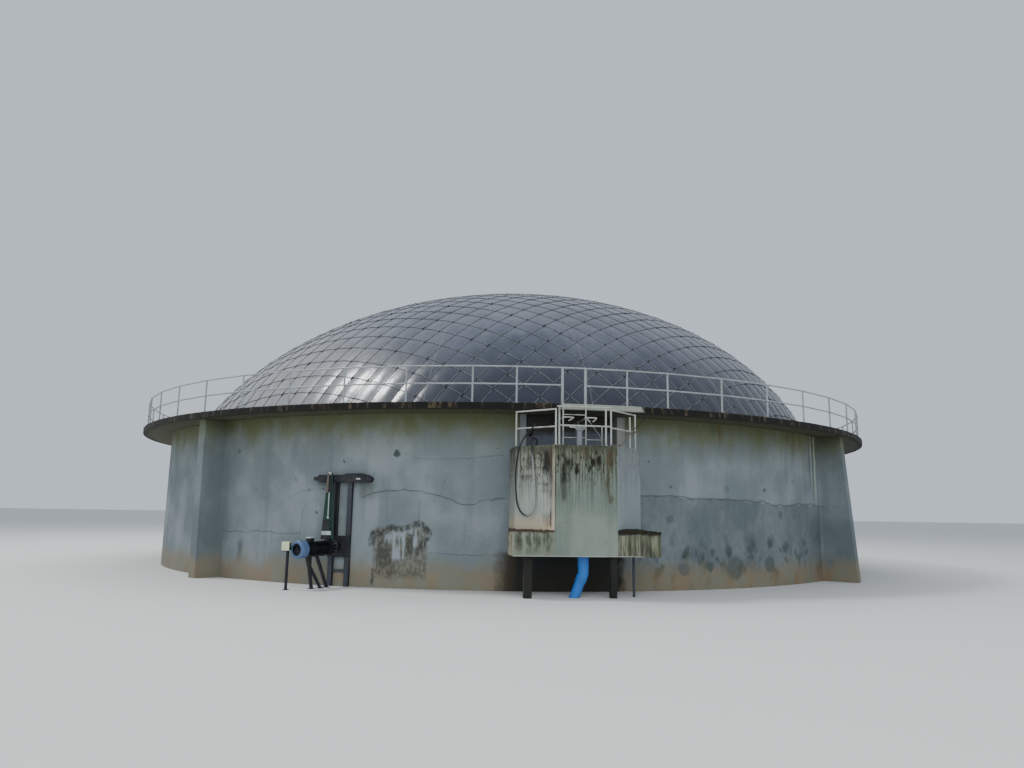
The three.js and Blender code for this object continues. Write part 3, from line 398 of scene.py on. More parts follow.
def evaluated(holder: bpy.types.Object) -> bpy.types.Mesh:
    """Mesh of an object with its modifiers applied; the object itself is removed.

    Args:
        holder: object with modifiers.

    Returns:
        A plain mesh.
    """
    mesh = bpy.data.meshes.new_from_object(holder.evaluated_get(bpy.context.evaluated_depsgraph_get()))
    holder.modifiers.clear()
    bpy.data.objects.remove(holder)
    return mesh


def placed(
    name: str, data: bpy.types.Mesh | bpy.types.Curve, finish: Finish, *nodes: str, bevel: float = 0.0
) -> bpy.types.Object:
    """Finishes a piece and rides it on the part's body.

    Args:
        name: the piece's name.
        data: its mesh or curve.
        finish: what it is made of.
        nodes: the nodes that it stands for.
        bevel: width of its rounded edges.

    Returns:
        The piece.
    """
    piece = linked(name, data)
    data.materials.clear()
    data.materials.append(finish.material)
    if bevel:
        edge = piece.modifiers.new("edge", "BEVEL")
        edge.width = bevel
        edge.segments = 2
        edge.angle_limit = SHARP_ANGLE
    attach(piece, "root")
    if nodes:
        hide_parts(*nodes)
    LOG.info("%s: %s", name, ", ".join(nodes) or "a detail of its own")
    return piece


class Form:
    """Closed skins gathered in one mesh, drawn in a frame of their own."""

    def __init__(self, matrix: Matrix | None = None) -> None:
        """Starts empty."""
        self.mesh = bmesh.new()
        self.matrix = matrix or Matrix.Identity(4)

    def loft(self, rings: Sequence[Places], cyclic: bool = False) -> "Form":
        """Skin through rings of equal numbers of points.

        Args:
            rings: the rings in order.
            cyclic: whether the last ring joins the first; if not, both ends are capped.

        Returns:
            The form.
        """
        rows = [[self.mesh.verts.new(point) for point in ring] for ring in rings]
        pairs = list(zip(rows, rows[1:])) + ([(rows[-1], rows[0])] if cyclic else [])
        for here, there in pairs:
            for index in range(len(here)):
                after = (index + 1) % len(here)
                self.mesh.faces.new((here[index], here[after], there[after], there[index]))
        if not cyclic:
            self.mesh.faces.new(rows[0][::-1])
            self.mesh.faces.new(rows[-1])
        return self

    def prism(self, outline: Sequence[Pair], low: float, high: float) -> "Form":
        """Upright prism on an outline."""
        return self.loft([[(x, y, low) for x, y in outline], [(x, y, high) for x, y in outline]])

    def box(self, low: Triple, high: Triple) -> "Form":
        """Box between two corners."""
        outline = [(low[0], low[1]), (high[0], low[1]), (high[0], high[1]), (low[0], high[1])]
        return self.prism(outline, low[2], high[2])

    def slab(self, outline: Sequence[Pair], front: float, back: float) -> "Form":
        """Upright slab on an outline of (x, z)."""
        return self.loft([[(x, line, z) for x, z in outline] for line in (front, back)])

    def bar(
        self, start: Sequence[float], end: Sequence[float], width: float, depth: float, end_width: float = 0.0
    ) -> "Form":
        """Straight bar of rectangular section.

        Args:
            start: middle of its first end.
            end: middle of its last end.
            width: level width at its start.
            depth: depth.
            end_width: width at its end, if it tapers.

        Returns:
            The form.
        """
        side, across = self._sides(Vector(end) - Vector(start))
        corners = ((-0.5, -0.5), (0.5, -0.5), (0.5, 0.5), (-0.5, 0.5))
        return self.loft([
            [Vector(point) + side * (a * size) + across * (b * depth) for a, b in corners]
            for point, size in ((start, width), (end, end_width or width))
        ])

    def tube(self, points: Places, radius: float, sides: int = 12) -> "Form":
        """Round tube.

        Args:
            points: its line.
            radius: its radius.
            sides: facets round it.

        Returns:
            The form.
        """
        path = [Vector(point) for point in points]
        side, _ = self._sides(path[1] - path[0])
        turns = [2 * math.pi * step / sides for step in range(sides)]
        rings = []
        for index, point in enumerate(path):
            ahead = path[min(index + 1, len(path) - 1)] - path[max(index - 1, 0)]
            side = (side - ahead * (side.dot(ahead) / ahead.length_squared)).normalized()
            across = ahead.normalized().cross(side)
            rings.append([point + (side * math.cos(t) + across * math.sin(t)) * radius for t in turns])
        return self.loft(rings)

    def turned(self, profile: Sequence[Pair], sides: int = 32, hole: bool = False) -> "Form":
        """Solid turned about the frame's Z axis.

        Args:
            profile: points of (height, radius), a closed section if there is a hole.
            sides: facets round the axis.
            hole: whether the solid is a ring.

        Returns:
            The form.
        """
        turns = [2 * math.pi * step / sides for step in range(sides)]
        if hole:
            rings = [[(r * math.cos(t), r * math.sin(t), h) for h, r in profile] for t in turns]
        else:
            rings = [[(r * math.cos(t), r * math.sin(t), h) for t in turns] for h, r in profile]
        return self.loft(rings, hole)

    def swept(self, section: Sequence[Pair], bearings: Sequence[float], cyclic: bool = False) -> "Form":
        """Section of (radius, height) swept round the tank's axis through bearings."""
        return self.loft([[bearing_point(r, bearing, h) for r, h in section] for bearing in bearings], cyclic)

    @staticmethod
    def _sides(direction: Vector) -> tuple[Vector, Vector]:
        """Side directions of a bar.

        Args:
            direction: along the bar.

        Returns:
            A level direction and the one square to it.
        """
        side = Vector((-direction.y, direction.x, 0.0))
        side = side.normalized() if side.length > 1e-6 else Vector((1.0, 0.0, 0.0))
        return side, direction.normalized().cross(side)

    def grounded(self) -> "Form":
        """The form with nothing below the ground."""
        for vertex in self.mesh.verts:
            vertex.co.z = max(vertex.co.z, 0.0)
        return self

    def bare(self, name: str) -> bpy.types.Mesh:
        """The gathered skins with doubles merged and faces outwards.

        Args:
            name: the mesh's name.

        Returns:
            A plain mesh in the part's frame.
        """
        bmesh.ops.remove_doubles(self.mesh, verts=self.mesh.verts, dist=1e-6)
        bmesh.ops.recalc_face_normals(self.mesh, faces=self.mesh.faces)
        self.mesh.transform(self.matrix)
        mesh = bpy.data.meshes.new(name)
        self.mesh.to_mesh(mesh)
        self.mesh.free()
        mesh.shade_smooth()
        mesh.set_sharp_from_angle(angle=SHARP_ANGLE)
        return mesh

    def piece(self, name: str, finish: Finish, *nodes: str, bevel: float = 0.0) -> bpy.types.Object:
        """The form as a placed piece."""
        return placed(name, self.bare(name), finish, *nodes, bevel=bevel)

    def cast(
        self, name: str, finish: Finish, *nodes: str, voxel: float = 0.025, wave: float = 0.3,
        wear: float = 0.004,
    ) -> bpy.types.Object:
        """The form as cast concrete, with soft worn edges, uneven faces and a flat foot.

        Args:
            name: the piece's name.
            finish: the concrete.
            nodes: the nodes that it stands for.
            voxel: size of the cells in which the skins are joined.
            wave: length of the waves in its faces.
            wear: their height.

        Returns:
            The piece.
        """
        holder = linked("holder", self.bare(name))
        remesh = holder.modifiers.new("cast", "REMESH")
        remesh.mode = "VOXEL"
        remesh.voxel_size = voxel
        remesh.use_smooth_shade = True
        mesh = evaluated(holder)
        waved(mesh, wave, wear)
        mesh.shade_smooth()
        return placed(name, mesh, finish, *nodes)

    def repeated(self, name: str, count: int, finish: Finish, step: Triple | None = None) -> None:
        """Pieces like the form in a row, or round the Z axis of its frame.

        Args:
            name: the row's name.
            count: number of items.
            finish: their finish.
            step: from each item to the next in a row, in the form's frame.
        """
        matrix, self.matrix = self.matrix, Matrix.Identity(4)
        if step:
            tree = Growth("line_row", {"Count": count, "Step": step})
            sizes = {"Count": tree.size("Count"), "Offset": tree.size("Step")}
            row = tree.copies(tree.add("GeometryNodeMeshLine", {}, sizes), tree.base)
        else:
            tree = Growth("round_row", {"Count": count})
            points = tree.add("GeometryNodePoints", {}, {"Count": tree.size("Count")})
            index = tree.add("GeometryNodeInputIndex")
            turn = tree.combine(0.0, 0.0, index * (2 * math.pi) / tree.size("Count"))
            rotation = tree.add("FunctionNodeEulerToRotation", {}, {0: turn})
            row = tree.copies(points, tree.base, Rotation=rotation)
        mesh = tree.grow(row, finish, self.bare(name))
        mesh.transform(matrix)
        placed(name, mesh, finish)


def waved(mesh: bpy.types.Mesh, size: float, amount: float) -> None:
    """Moves a mesh's points along their normals by a slow noise, except at its foot.

    Args:
        mesh: the mesh.
        size: length of the waves.
        amount: their height.
    """
    moves = []
    for vertex in mesh.vertices:
        swell = noise.noise(vertex.co / size) + 0.5 * noise.noise(vertex.co * (3 / size))
        moves.append(vertex.normal * (amount * swell if vertex.co.z > 0.01 else 0.0))
    for vertex, move in zip(mesh.vertices, moves):
        vertex.co += move


def spread(start: float, end: float, step: float) -> list[float]:
    """Even bearings from start to end, no further apart than a step."""
    count = math.ceil((end - start) / step)
    return [start + (end - start) * index / count for index in range(count + 1)]


# Finishes


@dataclass(frozen=True)
class Spot:
    """Round mark on the wall, by its arc, height and radius."""

    arc: float
    height: float
    radius: float
    strength: float = 0.6

    def mask(self, arc: Value, height: Value) -> Value:
        """1 on the spot."""
        across, up = arc - self.arc, height - self.height
        return (across * across + up * up).math("SQRT").rise(self.radius, self.radius * 0.6) * self.strength


@dataclass(frozen=True)
class Line:
    """Crack or joint through points of (arc, height), or of (height, arc) if it is upright."""

    points: tuple[Pair, ...]
    width: float = 0.014
    strength: float = 0.7
    upright: bool = False

    def course(self, wall: "WallConcrete", arc: Value) -> tuple[Value, Value, Value]:
        """The line's own coordinates.

        Args:
            wall: the wall's finish.
            arc: places along the wall.

        Returns:
            Position along the line, across it, and the line's own place across.
        """
        along, across = (wall.z, arc) if self.upright else (arc, wall.z)
        first, last = self.points[0][0], self.points[-1][0]
        low = min(place for _, place in self.points) - 0.01
        span = max(place for _, place in self.points) + 0.01 - low
        curve = [((a - first) / (last - first), (b - low) / span) for a, b in self.points]
        share = (along - first) / (last - first)
        bent = wall.add("ShaderNodeFloatCurve", {"curve": curve}, {"Value": share})
        return along, across, bent * span + low

    def mask(self, wall: "WallConcrete", arc: Value, wobble: Value) -> Value:
        """1 on the line.

        Args:
            wall: the wall's finish.
            arc: places along the wall.
            wobble: unevenness of the line.

        Returns:
            The mask.
        """
        along, across, line = self.course(wall, arc)
        distance = (across - line + wobble).math("ABSOLUTE")
        reach = along.band(self.points[0][0], self.points[-1][0], 0.06)
        return distance.rise(self.width, self.width * 0.3) * reach * self.strength


@dataclass(frozen=True)
class Run:
    """Streak that runs down a face, by its middle, its top and bottom and its half width."""

    middle: float
    top: float
    bottom: float
    half_width: float
    strength: float = 0.8

    def mask(self, across: Value, height: Value, ragged: Value) -> Value:
        """1 on the streak.

        Args:
            across: places across it.
            height: heights.
            ragged: noise that frays its sides.

        Returns:
            The mask.
        """
        distance = (across - self.middle).math("ABSOLUTE") + (ragged - 0.5) * (self.half_width * 1.6)
        sides = distance.rise(self.half_width, self.half_width * 0.25)
        soft = (self.top - self.bottom) * 0.2
        return sides * height.band(self.bottom + soft, self.top, soft) * self.strength


@dataclass(frozen=True)
class Mark:
    """Ragged mark on an upright face, by its sides, its bottom and its top."""

    left: float
    right: float
    bottom: float
    top: float
    strength: float = 0.8
    edge: float = 0.02

    def mask(self, across: Value, height: Value) -> Value:
        """1 on the mark, at places that noise has shifted a little."""
        sides = across.band(self.left, self.right, self.edge)
        return sides * height.band(self.bottom, self.top, self.edge * 2) * self.strength


@dataclass
class Concrete(Finish):
    """Cast concrete that has weathered all over, with the marks of its own places."""

    slot: Slot = Slot.CONCRETE
    body: Colour = srgb(120, 130, 133)
    pale: Colour = srgb(140, 148, 149)
    dark: Colour = srgb(88, 98, 101)
    relief: float = 0.004

    def paint(self) -> None:
        """Clouds, faint runs and grain, then marks, roughness and trowel marks."""
        clouds = self.noise(0.8, 0.8, 6.0)
        runs = self.noise(3.2, 0.35, 4.0, 7.0)
        grain = self.noise(26.0, 26.0, 3.0, 3.0)
        cloudy = self.mix(clouds.rise(0.36, 0.64), self.dark, self.pale)
        self.colour = self.mix(0.45, self.body, cloudy)
        self.lay(runs.rise(0.5, 0.72) * 0.35, self.dark)
        self.shaded(grain * 0.28 + 0.86)
        self.marks()
        roughness = self.noise(2.0, 2.0, 3.0, 5.0) * 0.16 + 0.8
        height = self.noise(60.0, 60.0, 3.0) * 0.3 + self.noise(5.0, 3.0, 3.0, 9.0) * 0.7
        self.close(roughness, height, self.relief)

    def marks(self) -> None:
        """Marks that have a place of their own: none on plain concrete."""


@dataclass
class WallConcrete(Concrete):
    """The tank's wall, with the marks that it has collected in their places."""

    olive: Colour = srgb(92, 96, 56)
    mud: Colour = srgb(122, 118, 96)
    earth: Colour = srgb(130, 112, 82)
    stain: Colour = srgb(58, 68, 70)
    crack: Colour = srgb(54, 60, 58)
    lime: Colour = srgb(178, 182, 166)
    rust: Colour = srgb(88, 76, 46)
    shadow_and_dark_wall: Colour = srgb(28, 29, 24)
    clay: Colour = srgb(78, 66, 50)
    wash: Colour = srgb(150, 160, 168)
    rim: Colour = srgb(46, 46, 40)
    bare: Colour = srgb(112, 110, 96)
    mould: Colour = srgb(60, 62, 52)
    cracks: tuple[Line, ...] = (
        Line(((-5.02, 2.09), (-4.6, 2.2), (-4.18, 2.26), (-3.44, 2.22), (-2.84, 2.07), (-2.37, 1.96),
              (-2.13, 2.03), (-1.55, 2.11)), 0.024, 0.54),
        Line(((-4.02, 3.14), (-3.75, 3.05), (-3.47, 3.0), (-2.87, 3.0), (-2.2, 3.05),
              (-1.57, 3.09)), 0.02, 0.32),
        Line(((-7.4, 1.9), (-7.0, 2.12), (-6.5, 2.25), (-6.0, 2.27)), 0.02, 0.28),
        Line(((1.04, -6.69), (1.5, -6.68), (1.85, -6.6), (2.0, -6.42), (2.08, -6.05)), 0.016, 0.4, True),
        Line(((1.36, -3.5), (1.7, -3.56), (2.05, -3.54)), 0.013, 0.45, True),
        Line(((2.2, -3.05), (2.45, -3.0), (2.65, -2.8), (2.72, -2.5)), 0.014, 0.3, True),
        Line(((-9.58, 1.21), (-8.9, 1.18), (-8.03, 1.22), (-7.3, 1.19), (-6.7, 1.2)), 0.02, 0.4),
        Line(((-3.3, 0.82), (-2.6, 0.8), (-1.6, 0.8)), 0.016, 0.4),
    )
    joint: Line = Line(
        ((1.72, 2.22), (2.52, 2.24), (3.3, 2.19), (3.9, 2.2), (4.46, 2.19), (5.2, 2.15), (5.71, 2.14),
         (6.29, 2.07), (7.0, 2.1), (7.73, 2.13), (8.85, 2.1)), 0.032, 0.5)
    spots: tuple[Spot, ...] = (
        Spot(-4.17, 3.12, 0.1, 0.95), Spot(-9.04, 3.27, 0.07), Spot(-5.55, 2.94, 0.045, 0.8),
        Spot(-6.27, 1.72, 0.05, 0.7), Spot(-6.93, 2.52, 0.09, 0.25), Spot(-6.51, 2.25, 0.08, 0.3),
        Spot(-6.1, 2.26, 0.045, 0.6), Spot(-8.3, 2.25, 0.04, 0.4), Spot(-7.35, 2.6, 0.03, 0.4),
        Spot(1.97, 3.04, 0.045, 0.7), Spot(2.57, 2.48, 0.045, 0.7), Spot(2.53, 1.67, 0.13, 0.45),
        Spot(5.71, 2.45, 0.08, 0.7), Spot(4.3, 2.45, 0.1, 0.35), Spot(7.1, 2.7, 0.09, 0.3),
        Spot(6.39, 1.83, 0.13, 0.4), Spot(3.68, 0.55, 0.16, 0.65), Spot(3.77, 0.89, 0.11, 0.6),
        Spot(4.49, 0.5, 0.36, 0.55), Spot(5.83, 0.56, 0.26, 0.6), Spot(6.6, 1.0, 0.17, 0.6),
        Spot(5.87, 1.09, 0.15, 0.5), Spot(2.9, 0.5, 0.2, 0.4), Spot(-1.75, 3.25, 0.03, 0.6),
    )
    runs: tuple[tuple[Run, Colour], ...] = (
        (Run(8.62, 4.2, 1.8, 0.1, 0.6), lime), (Run(8.45, 4.2, 1.9, 0.05, 0.6), stain),
        (Run(8.36, 4.2, 2.3, 0.05, 0.5), lime), (Run(8.2, 4.2, 2.5, 0.05, 0.35), stain),
        (Run(7.2, 4.3, 3.3, 0.13, 0.5), rust), (Run(7.62, 4.3, 3.5, 0.06, 0.5), rust),
        (Run(6.95, 4.3, 3.6, 0.05, 0.5), stain), (Run(4.1, 4.3, 3.4, 0.08, 0.5), rust),
        (Run(3.9, 4.3, 3.7, 0.14, 0.3), stain), (Run(5.1, 1.35, 0.2, 0.3, 0.45), stain),
        (Run(-8.75, 0.95, 0.3, 0.13, 0.6), stain),
    )
    patch_rim: tuple[Line, ...] = (
        Line(((-4.76, 1.25), (-4.44, 1.26), (-4.21, 1.39), (-4.05, 1.35), (-3.82, 1.4), (-3.55, 1.49),
              (-3.4, 1.42), (-3.28, 1.28)), 0.11, 0.85),
        Line(((0.78, -3.52), (0.95, -3.47), (1.12, -3.37), (1.27, -3.33), (1.43, -3.42)), 0.12, 0.8, True),
        Line(((0.95, -4.71), (1.15, -4.7), (1.3, -4.66)), 0.12, 0.8, True),
    )
    mouldy: tuple[Mark, ...] = (
        Mark(-4.57, -4.22, 0.5, 1.14, 0.65, 0.05), Mark(-3.86, -3.68, 0.78, 1.3, 0.8, 0.04),
        Mark(-3.98, -3.9, 0.72, 0.84, 0.7, 0.03), Mark(-4.3, -4.15, 0.2, 0.75, 0.35, 0.05),
        Mark(-4.69, -4.63, 0.06, 0.42, 0.95, 0.025), Mark(-4.5, -4.46, 0.36, 0.42, 0.7, 0.025),
        Mark(-5.1, -4.72, 2.05, 2.45, 0.45, 0.08), Mark(-6.25, -5.7, 2.32, 2.45, 0.5, 0.06),
    )
    patch_pale: tuple[Mark, ...] = (
        Mark(-4.2, -3.88, 0.66, 1.34, 0.75, 0.03), Mark(-3.68, -3.56, 0.95, 1.36, 0.7, 0.03),
        Mark(-4.4, -4.2, 1.04, 1.24, 0.6, 0.04), Mark(-3.92, -3.68, 1.28, 1.37, 0.6, 0.03),
    )

    def marks(self) -> None:
        """Moss, dirt, stains, cracks and earth, with painted shade under the walkway, on the buttresses and
        beneath the platform, in the order in which they lie on each other.
        """
        self.arc = self.bearing * WALL_RADIUS
        ragged = self.noise(2.4, 1.2, 4.0, 13.0)
        self.fine = self.noise(9.0, 5.0, 4.0, 2.0)
        self.wobble = (self.noise(3.4, 3.4, 5.0, 21.0) - 0.5) * 0.16
        level = self.z + (ragged - 0.5) * 1.0 + (self.fine - 0.5) * 0.3
        # Olive algae band under the walkway; its stronger upper layer also paints the shade under the slab
        self.lay(level.rise(2.9, 3.9) * 0.5, self.olive)
        self.lay(level.rise(3.5, 4.1) * 0.8, self.olive)
        # Buttresses darker than the wall: dirt, and painted shade of their side faces
        self.lay(self.outward.rise(WALL_RADIUS + 0.02, WALL_RADIUS + 0.1) * 0.24, self.stain)
        self.lower_right()
        for run, tint in self.runs:
            self.lay(run.mask(self.arc, self.z, self.fine), tint)
        for crack in self.cracks:
            broken = ragged.rise(0.36, 0.52) * 0.5 + 0.6
            self.lay(crack.mask(self, self.arc, self.wobble) * broken, self.crack)
        foot = (self.z + (ragged - 0.5) * 0.9 + (self.fine - 0.5) * 0.2).rise(0.8, 0.3)
        self.lay(foot * 0.75, self.mix(ragged.rise(0.42, 0.6), self.mud, self.earth))
        self.arc = self.arc + self.wobble * 0.8
        self.height = self.z + (self.fine - 0.5) * 0.2
        for spot in self.spots:
            self.lay(spot.mask(self.arc, self.height), self.stain)
        self.patch()
        self.under_platform()

    def lower_right(self) -> None:
        """Dark blotches below the ragged joint right of the chamber."""
        along, across, line = self.joint.course(self, self.arc)
        ends = along.rise(1.5, 1.75) * along.rise(8.92, 8.78)
        below = (line - across + self.wobble).rise(-0.01, 0.03) * ends
        blotch = self.noise(3.0, 2.2, 5.0, 31.0).rise(0.5, 0.66) * self.z.rise(1.6, 0.6)
        self.lay(below * (blotch * 0.62 + self.fine.rise(0.36, 0.7) * 0.14 + 0.34), self.stain)
        self.lay(self.joint.mask(self, self.arc, self.wobble), self.crack)

    def patch(self) -> None:
        """Bare patch with a dark ragged rim and whitewash that has run down it."""
        drips = self.noise(12.0, 1.2, 4.0, 17.0)
        blots = self.noise(14.0, 9.0, 4.0, 43.0)
        inside = self.arc.band(-4.66, -3.36, 0.05) * self.height.band(0.25, 1.4, 0.08)
        bare = self.mix(blots.rise(0.4, 0.6) * 0.8, self.bare, self.mould)
        self.lay(inside * 0.7, bare)
        for mark in self.mouldy:
            self.lay(mark.mask(self.arc, self.height) * (blots.rise(0.3, 0.5) * 0.5 + 0.5), self.mould)
        washed = self.mix(drips.rise(0.38, 0.5), bare, self.wash)
        for mark in self.patch_pale:
            self.lay(mark.mask(self.arc, self.height), washed)
        for line in self.patch_rim:
            rim = line.mask(self, self.arc, self.wobble * 0.6)
            self.lay(rim * (blots.rise(0.36, 0.56) * 0.6 + 0.3), self.rim)

    def under_platform(self) -> None:
        """Wall beneath the chamber's platform: painted shadow over a darker wall, with reddish clay at its
        left.
        """
        low = (self.z + (self.fine - 0.5) * 0.3).rise(1.0, 0.8) * self.y.rise(0.0, -1.0)
        across = self.x + (self.fine - 0.5) * 0.3
        # Painted shadow under the platform, over wall that is darker there too
        self.lay(low * across.band(-1.55, 1.25, 0.12) * 0.9, self.shadow_and_dark_wall)
        self.lay(low * across.band(-1.75, -1.3, 0.08) * 0.5, self.clay)


@dataclass
class WalkwayConcrete(Concrete):
    """The walkway's slab: black moss on its rim, dirt on top and an olive underside."""

    slot: Slot = Slot.MOSSY_CONCRETE
    relief: float = 0.006
    rim_radius: float = 12.66
    top: float = 4.235
    bottom: float = 4.105
    moss: Colour = srgb(16, 15, 9)
    brown: Colour = srgb(44, 37, 24)
    clean: Colour = srgb(146, 152, 138)
    flaked: Colour = srgb(92, 82, 66)
    underside: Colour = srgb(74, 74, 52)

    def marks(self) -> None:
        """Rim, top and underside, each in its own colours."""
        arc = self.bearing * self.rim_radius
        dashes = self.noise(8.0, 1.4, 5.0, 4.0)
        bits = self.noise(20.0, 12.0, 4.0, 8.0)
        rim = self.mix(dashes.rise(0.5, 0.66), self.moss, self.brown)
        rim = self.mix(dashes.rise(0.54, 0.62) * bits.rise(0.4, 0.55) * 0.5, rim, self.flaked)
        patch = (arc + (bits - 0.5) * 0.3).band(-0.42, 1.52, 0.08) * self.z.rise(4.1, 4.14)
        rim = self.mix(patch * 0.9, rim, self.clean)
        above = self.mix(bits.rise(0.4, 0.62) * 0.6, self.colour, self.brown)
        above = self.mix((self.outward + (bits - 0.5) * 0.4).rise(12.3, 12.66) * 0.8, above, self.moss)
        boards = (arc * (2 * math.pi / 0.16)).math("SINE").rise(0.8, 1.0) * bits.rise(0.35, 0.6)
        self.colour = self.mix(dashes.rise(0.45, 0.7) * 0.5, self.underside, self.brown)
        self.lay(boards * 0.4, self.moss)
        self.lay((self.outward + (bits - 0.5) * 0.3).rise(12.45, 12.68) * 0.85, self.moss)
        self.lay(self.z.rise(self.bottom - 0.008, self.bottom), rim)
        self.lay(self.z.rise(self.top, self.top + 0.01) * self.outward.rise(12.72, 12.69), above)


@dataclass
class ChamberConcrete(Concrete):
    """The outlet chamber's limewashed walls and ledges, with dark runs from their tops."""

    slot: Slot = Slot.STREAKED_CONCRETE
    body: Colour = srgb(121, 133, 123)
    pale: Colour = srgb(138, 148, 134)
    dark: Colour = srgb(96, 106, 97)
    relief: float = 0.005
    grime: Colour = srgb(27, 25, 17)
    moss: Colour = srgb(58, 61, 46)
    black_moss: Colour = srgb(30, 28, 20)
    brown: Colour = srgb(90, 84, 58)
    umber: Colour = srgb(66, 56, 36)
    painted_sunlight: Colour = srgb(186, 168, 138)
    # bright: painted sunlight on the left wing, and the pale lip along the platform's foot
    bright: Colour = srgb(178, 180, 172)
    lilac: Colour = srgb(130, 138, 144)
    rust: Colour = srgb(62, 42, 32)
    yellowed: Colour = srgb(128, 126, 98)
    ledge: float = 1.39
    foot: float = 0.87
    smears: tuple[Mark, ...] = (
        Mark(-0.49, -0.37, 2.76, 2.94, 0.9, 0.03), Mark(-0.56, -0.44, 2.38, 2.8, 0.92, 0.04),
        Mark(-0.54, -0.45, 2.04, 2.4, 0.65, 0.04), Mark(-0.54, -0.46, 2.95, 3.25, 0.6, 0.03),
        Mark(-0.37, -0.29, 2.7, 2.94, 0.8, 0.03), Mark(-0.26, -0.17, 2.62, 2.9, 1.0, 0.02),
        Mark(0.08, 0.19, 2.8, 2.97, 1.0, 0.02), Mark(0.23, 0.31, 2.82, 2.97, 1.0, 0.02),
        Mark(0.05, 0.11, 2.66, 2.79, 1.0, 0.02), Mark(0.26, 0.3, 2.76, 2.8, 0.8, 0.015),
        Mark(-0.93, -0.78, 2.6, 3.15, 0.95, 0.05), Mark(-0.9, -0.84, 2.2, 2.5, 0.45, 0.03),
        Mark(-1.22, -1.14, 2.72, 3.08, 0.55, 0.04), Mark(-1.3, -1.1, 2.5, 2.58, 0.35, 0.04),
    )
    streaks: tuple[Mark, ...] = (
        Mark(-0.13, 0.07, 2.98, 3.24, 0.6, 0.04), Mark(0.44, 0.6, 2.8, 3.24, 0.75, 0.04),
        Mark(0.63, 0.68, 2.9, 3.2, 0.7, 0.02), Mark(0.45, 0.51, 2.2, 2.76, 0.7, 0.03),
        Mark(0.48, 0.58, 2.0, 2.2, 0.6, 0.03), Mark(-0.84, -0.76, 2.9, 3.24, 0.6, 0.04),
        Mark(-0.9, -0.76, 1.5, 1.78, 0.4, 0.04), Mark(-1.1, -0.9, 3.06, 3.22, 0.5, 0.04),
    )
    bands: tuple[Mark, ...] = (
        Mark(-1.2, -0.92, 2.94, 2.99, 0.6, 0.02), Mark(-1.25, -0.85, 2.74, 2.79, 0.55, 0.02),
        Mark(-1.35, -1.1, 2.55, 2.6, 0.55, 0.02), Mark(-1.0, -0.8, 2.38, 2.43, 0.5, 0.02),
        Mark(-0.98, -0.78, 2.22, 2.26, 0.4, 0.02),
    )

    def marks(self) -> None:
        """Painted sunlight on the left wing, a lilac tint on the right one, runs and streaks from the top, and
        rust in the left fold.
        """
        self.ragged = self.noise(8.0, 2.2, 5.0, 6.0)
        self.drips = self.noise(22.0, 1.1, 5.0, 11.0)
        across = self.x + (self.noise(16.0, 7.0, 6.0, 31.0) - 0.5) * 0.16
        height = self.z + (self.noise(24.0, 3.5, 5.0, 37.0) - 0.5) * 0.4
        above = self.z.rise(self.ledge - 0.01, self.ledge + 0.01)
        on_left, on_right = self.x.rise(-0.68, -0.7) * above, self.x.rise(0.68, 0.7) * above
        # Left wing: painted sunlight, lighter all over and warm low down and along its edge by the front wall
        self.lay(on_left * 0.5, self.bright)
        self.lay(on_right * 0.8, self.lilac)
        sunlit_share = (height.rise(1.8, 1.5) + self.x.band(-0.73, -0.69, 0.01)).math("MINIMUM", 1.0)
        self.lay(on_left * sunlit_share * 0.7, self.painted_sunlight)
        aged = (1 - on_right * 0.6) * self.z.rise(1.4, 3.0)
        self.lay(height.rise(2.2, 3.25) * aged * 0.55, self.brown)
        self.lay(self.drips.rise(0.42, 0.58) * aged * 0.75, self.moss)
        specks = self.noise(26.0, 10.0, 4.0, 47.0).rise(0.56, 0.64) * aged
        self.lay(specks * height.rise(2.0, 2.8) * 0.9, self.grime)
        banded = self.z + (self.ragged - 0.5) * 0.08
        for mark in self.streaks:
            self.lay(mark.mask(across, height), self.umber)
        for mark in self.bands:
            self.lay(mark.mask(across, banded), self.moss)
        for mark in self.smears:
            self.lay(mark.mask(across, height), self.grime)
        fold = (self.x + (self.ragged - 0.5) * 0.06).band(-0.78, -0.75, 0.014) * height.band(1.5, 3.24, 0.05)
        self.lay(fold * (self.ragged.rise(0.4, 0.55) * 0.5 + 0.4), self.rust)
        top = (height + (self.ragged - 0.5) * 0.1).rise(3.02, 3.22) * (1 - on_right * 0.8)
        self.lay(top * 0.65, self.moss)
        self.ledges()

    def ledges(self) -> None:
        """Platform beside the front wall: moss on top, dark patches down its sides, a rust line, and painted
        sunlight on its left end.
        """
        beside = self.x.math("ABSOLUTE").rise(0.695, 0.7)
        face = self.z.rise(self.ledge + 0.01, self.ledge) * beside
        left, right = face * self.x.rise(0.1, -0.1), face * self.x.rise(-0.1, 0.1)
        self.lay(right * 0.6, self.yellowed)
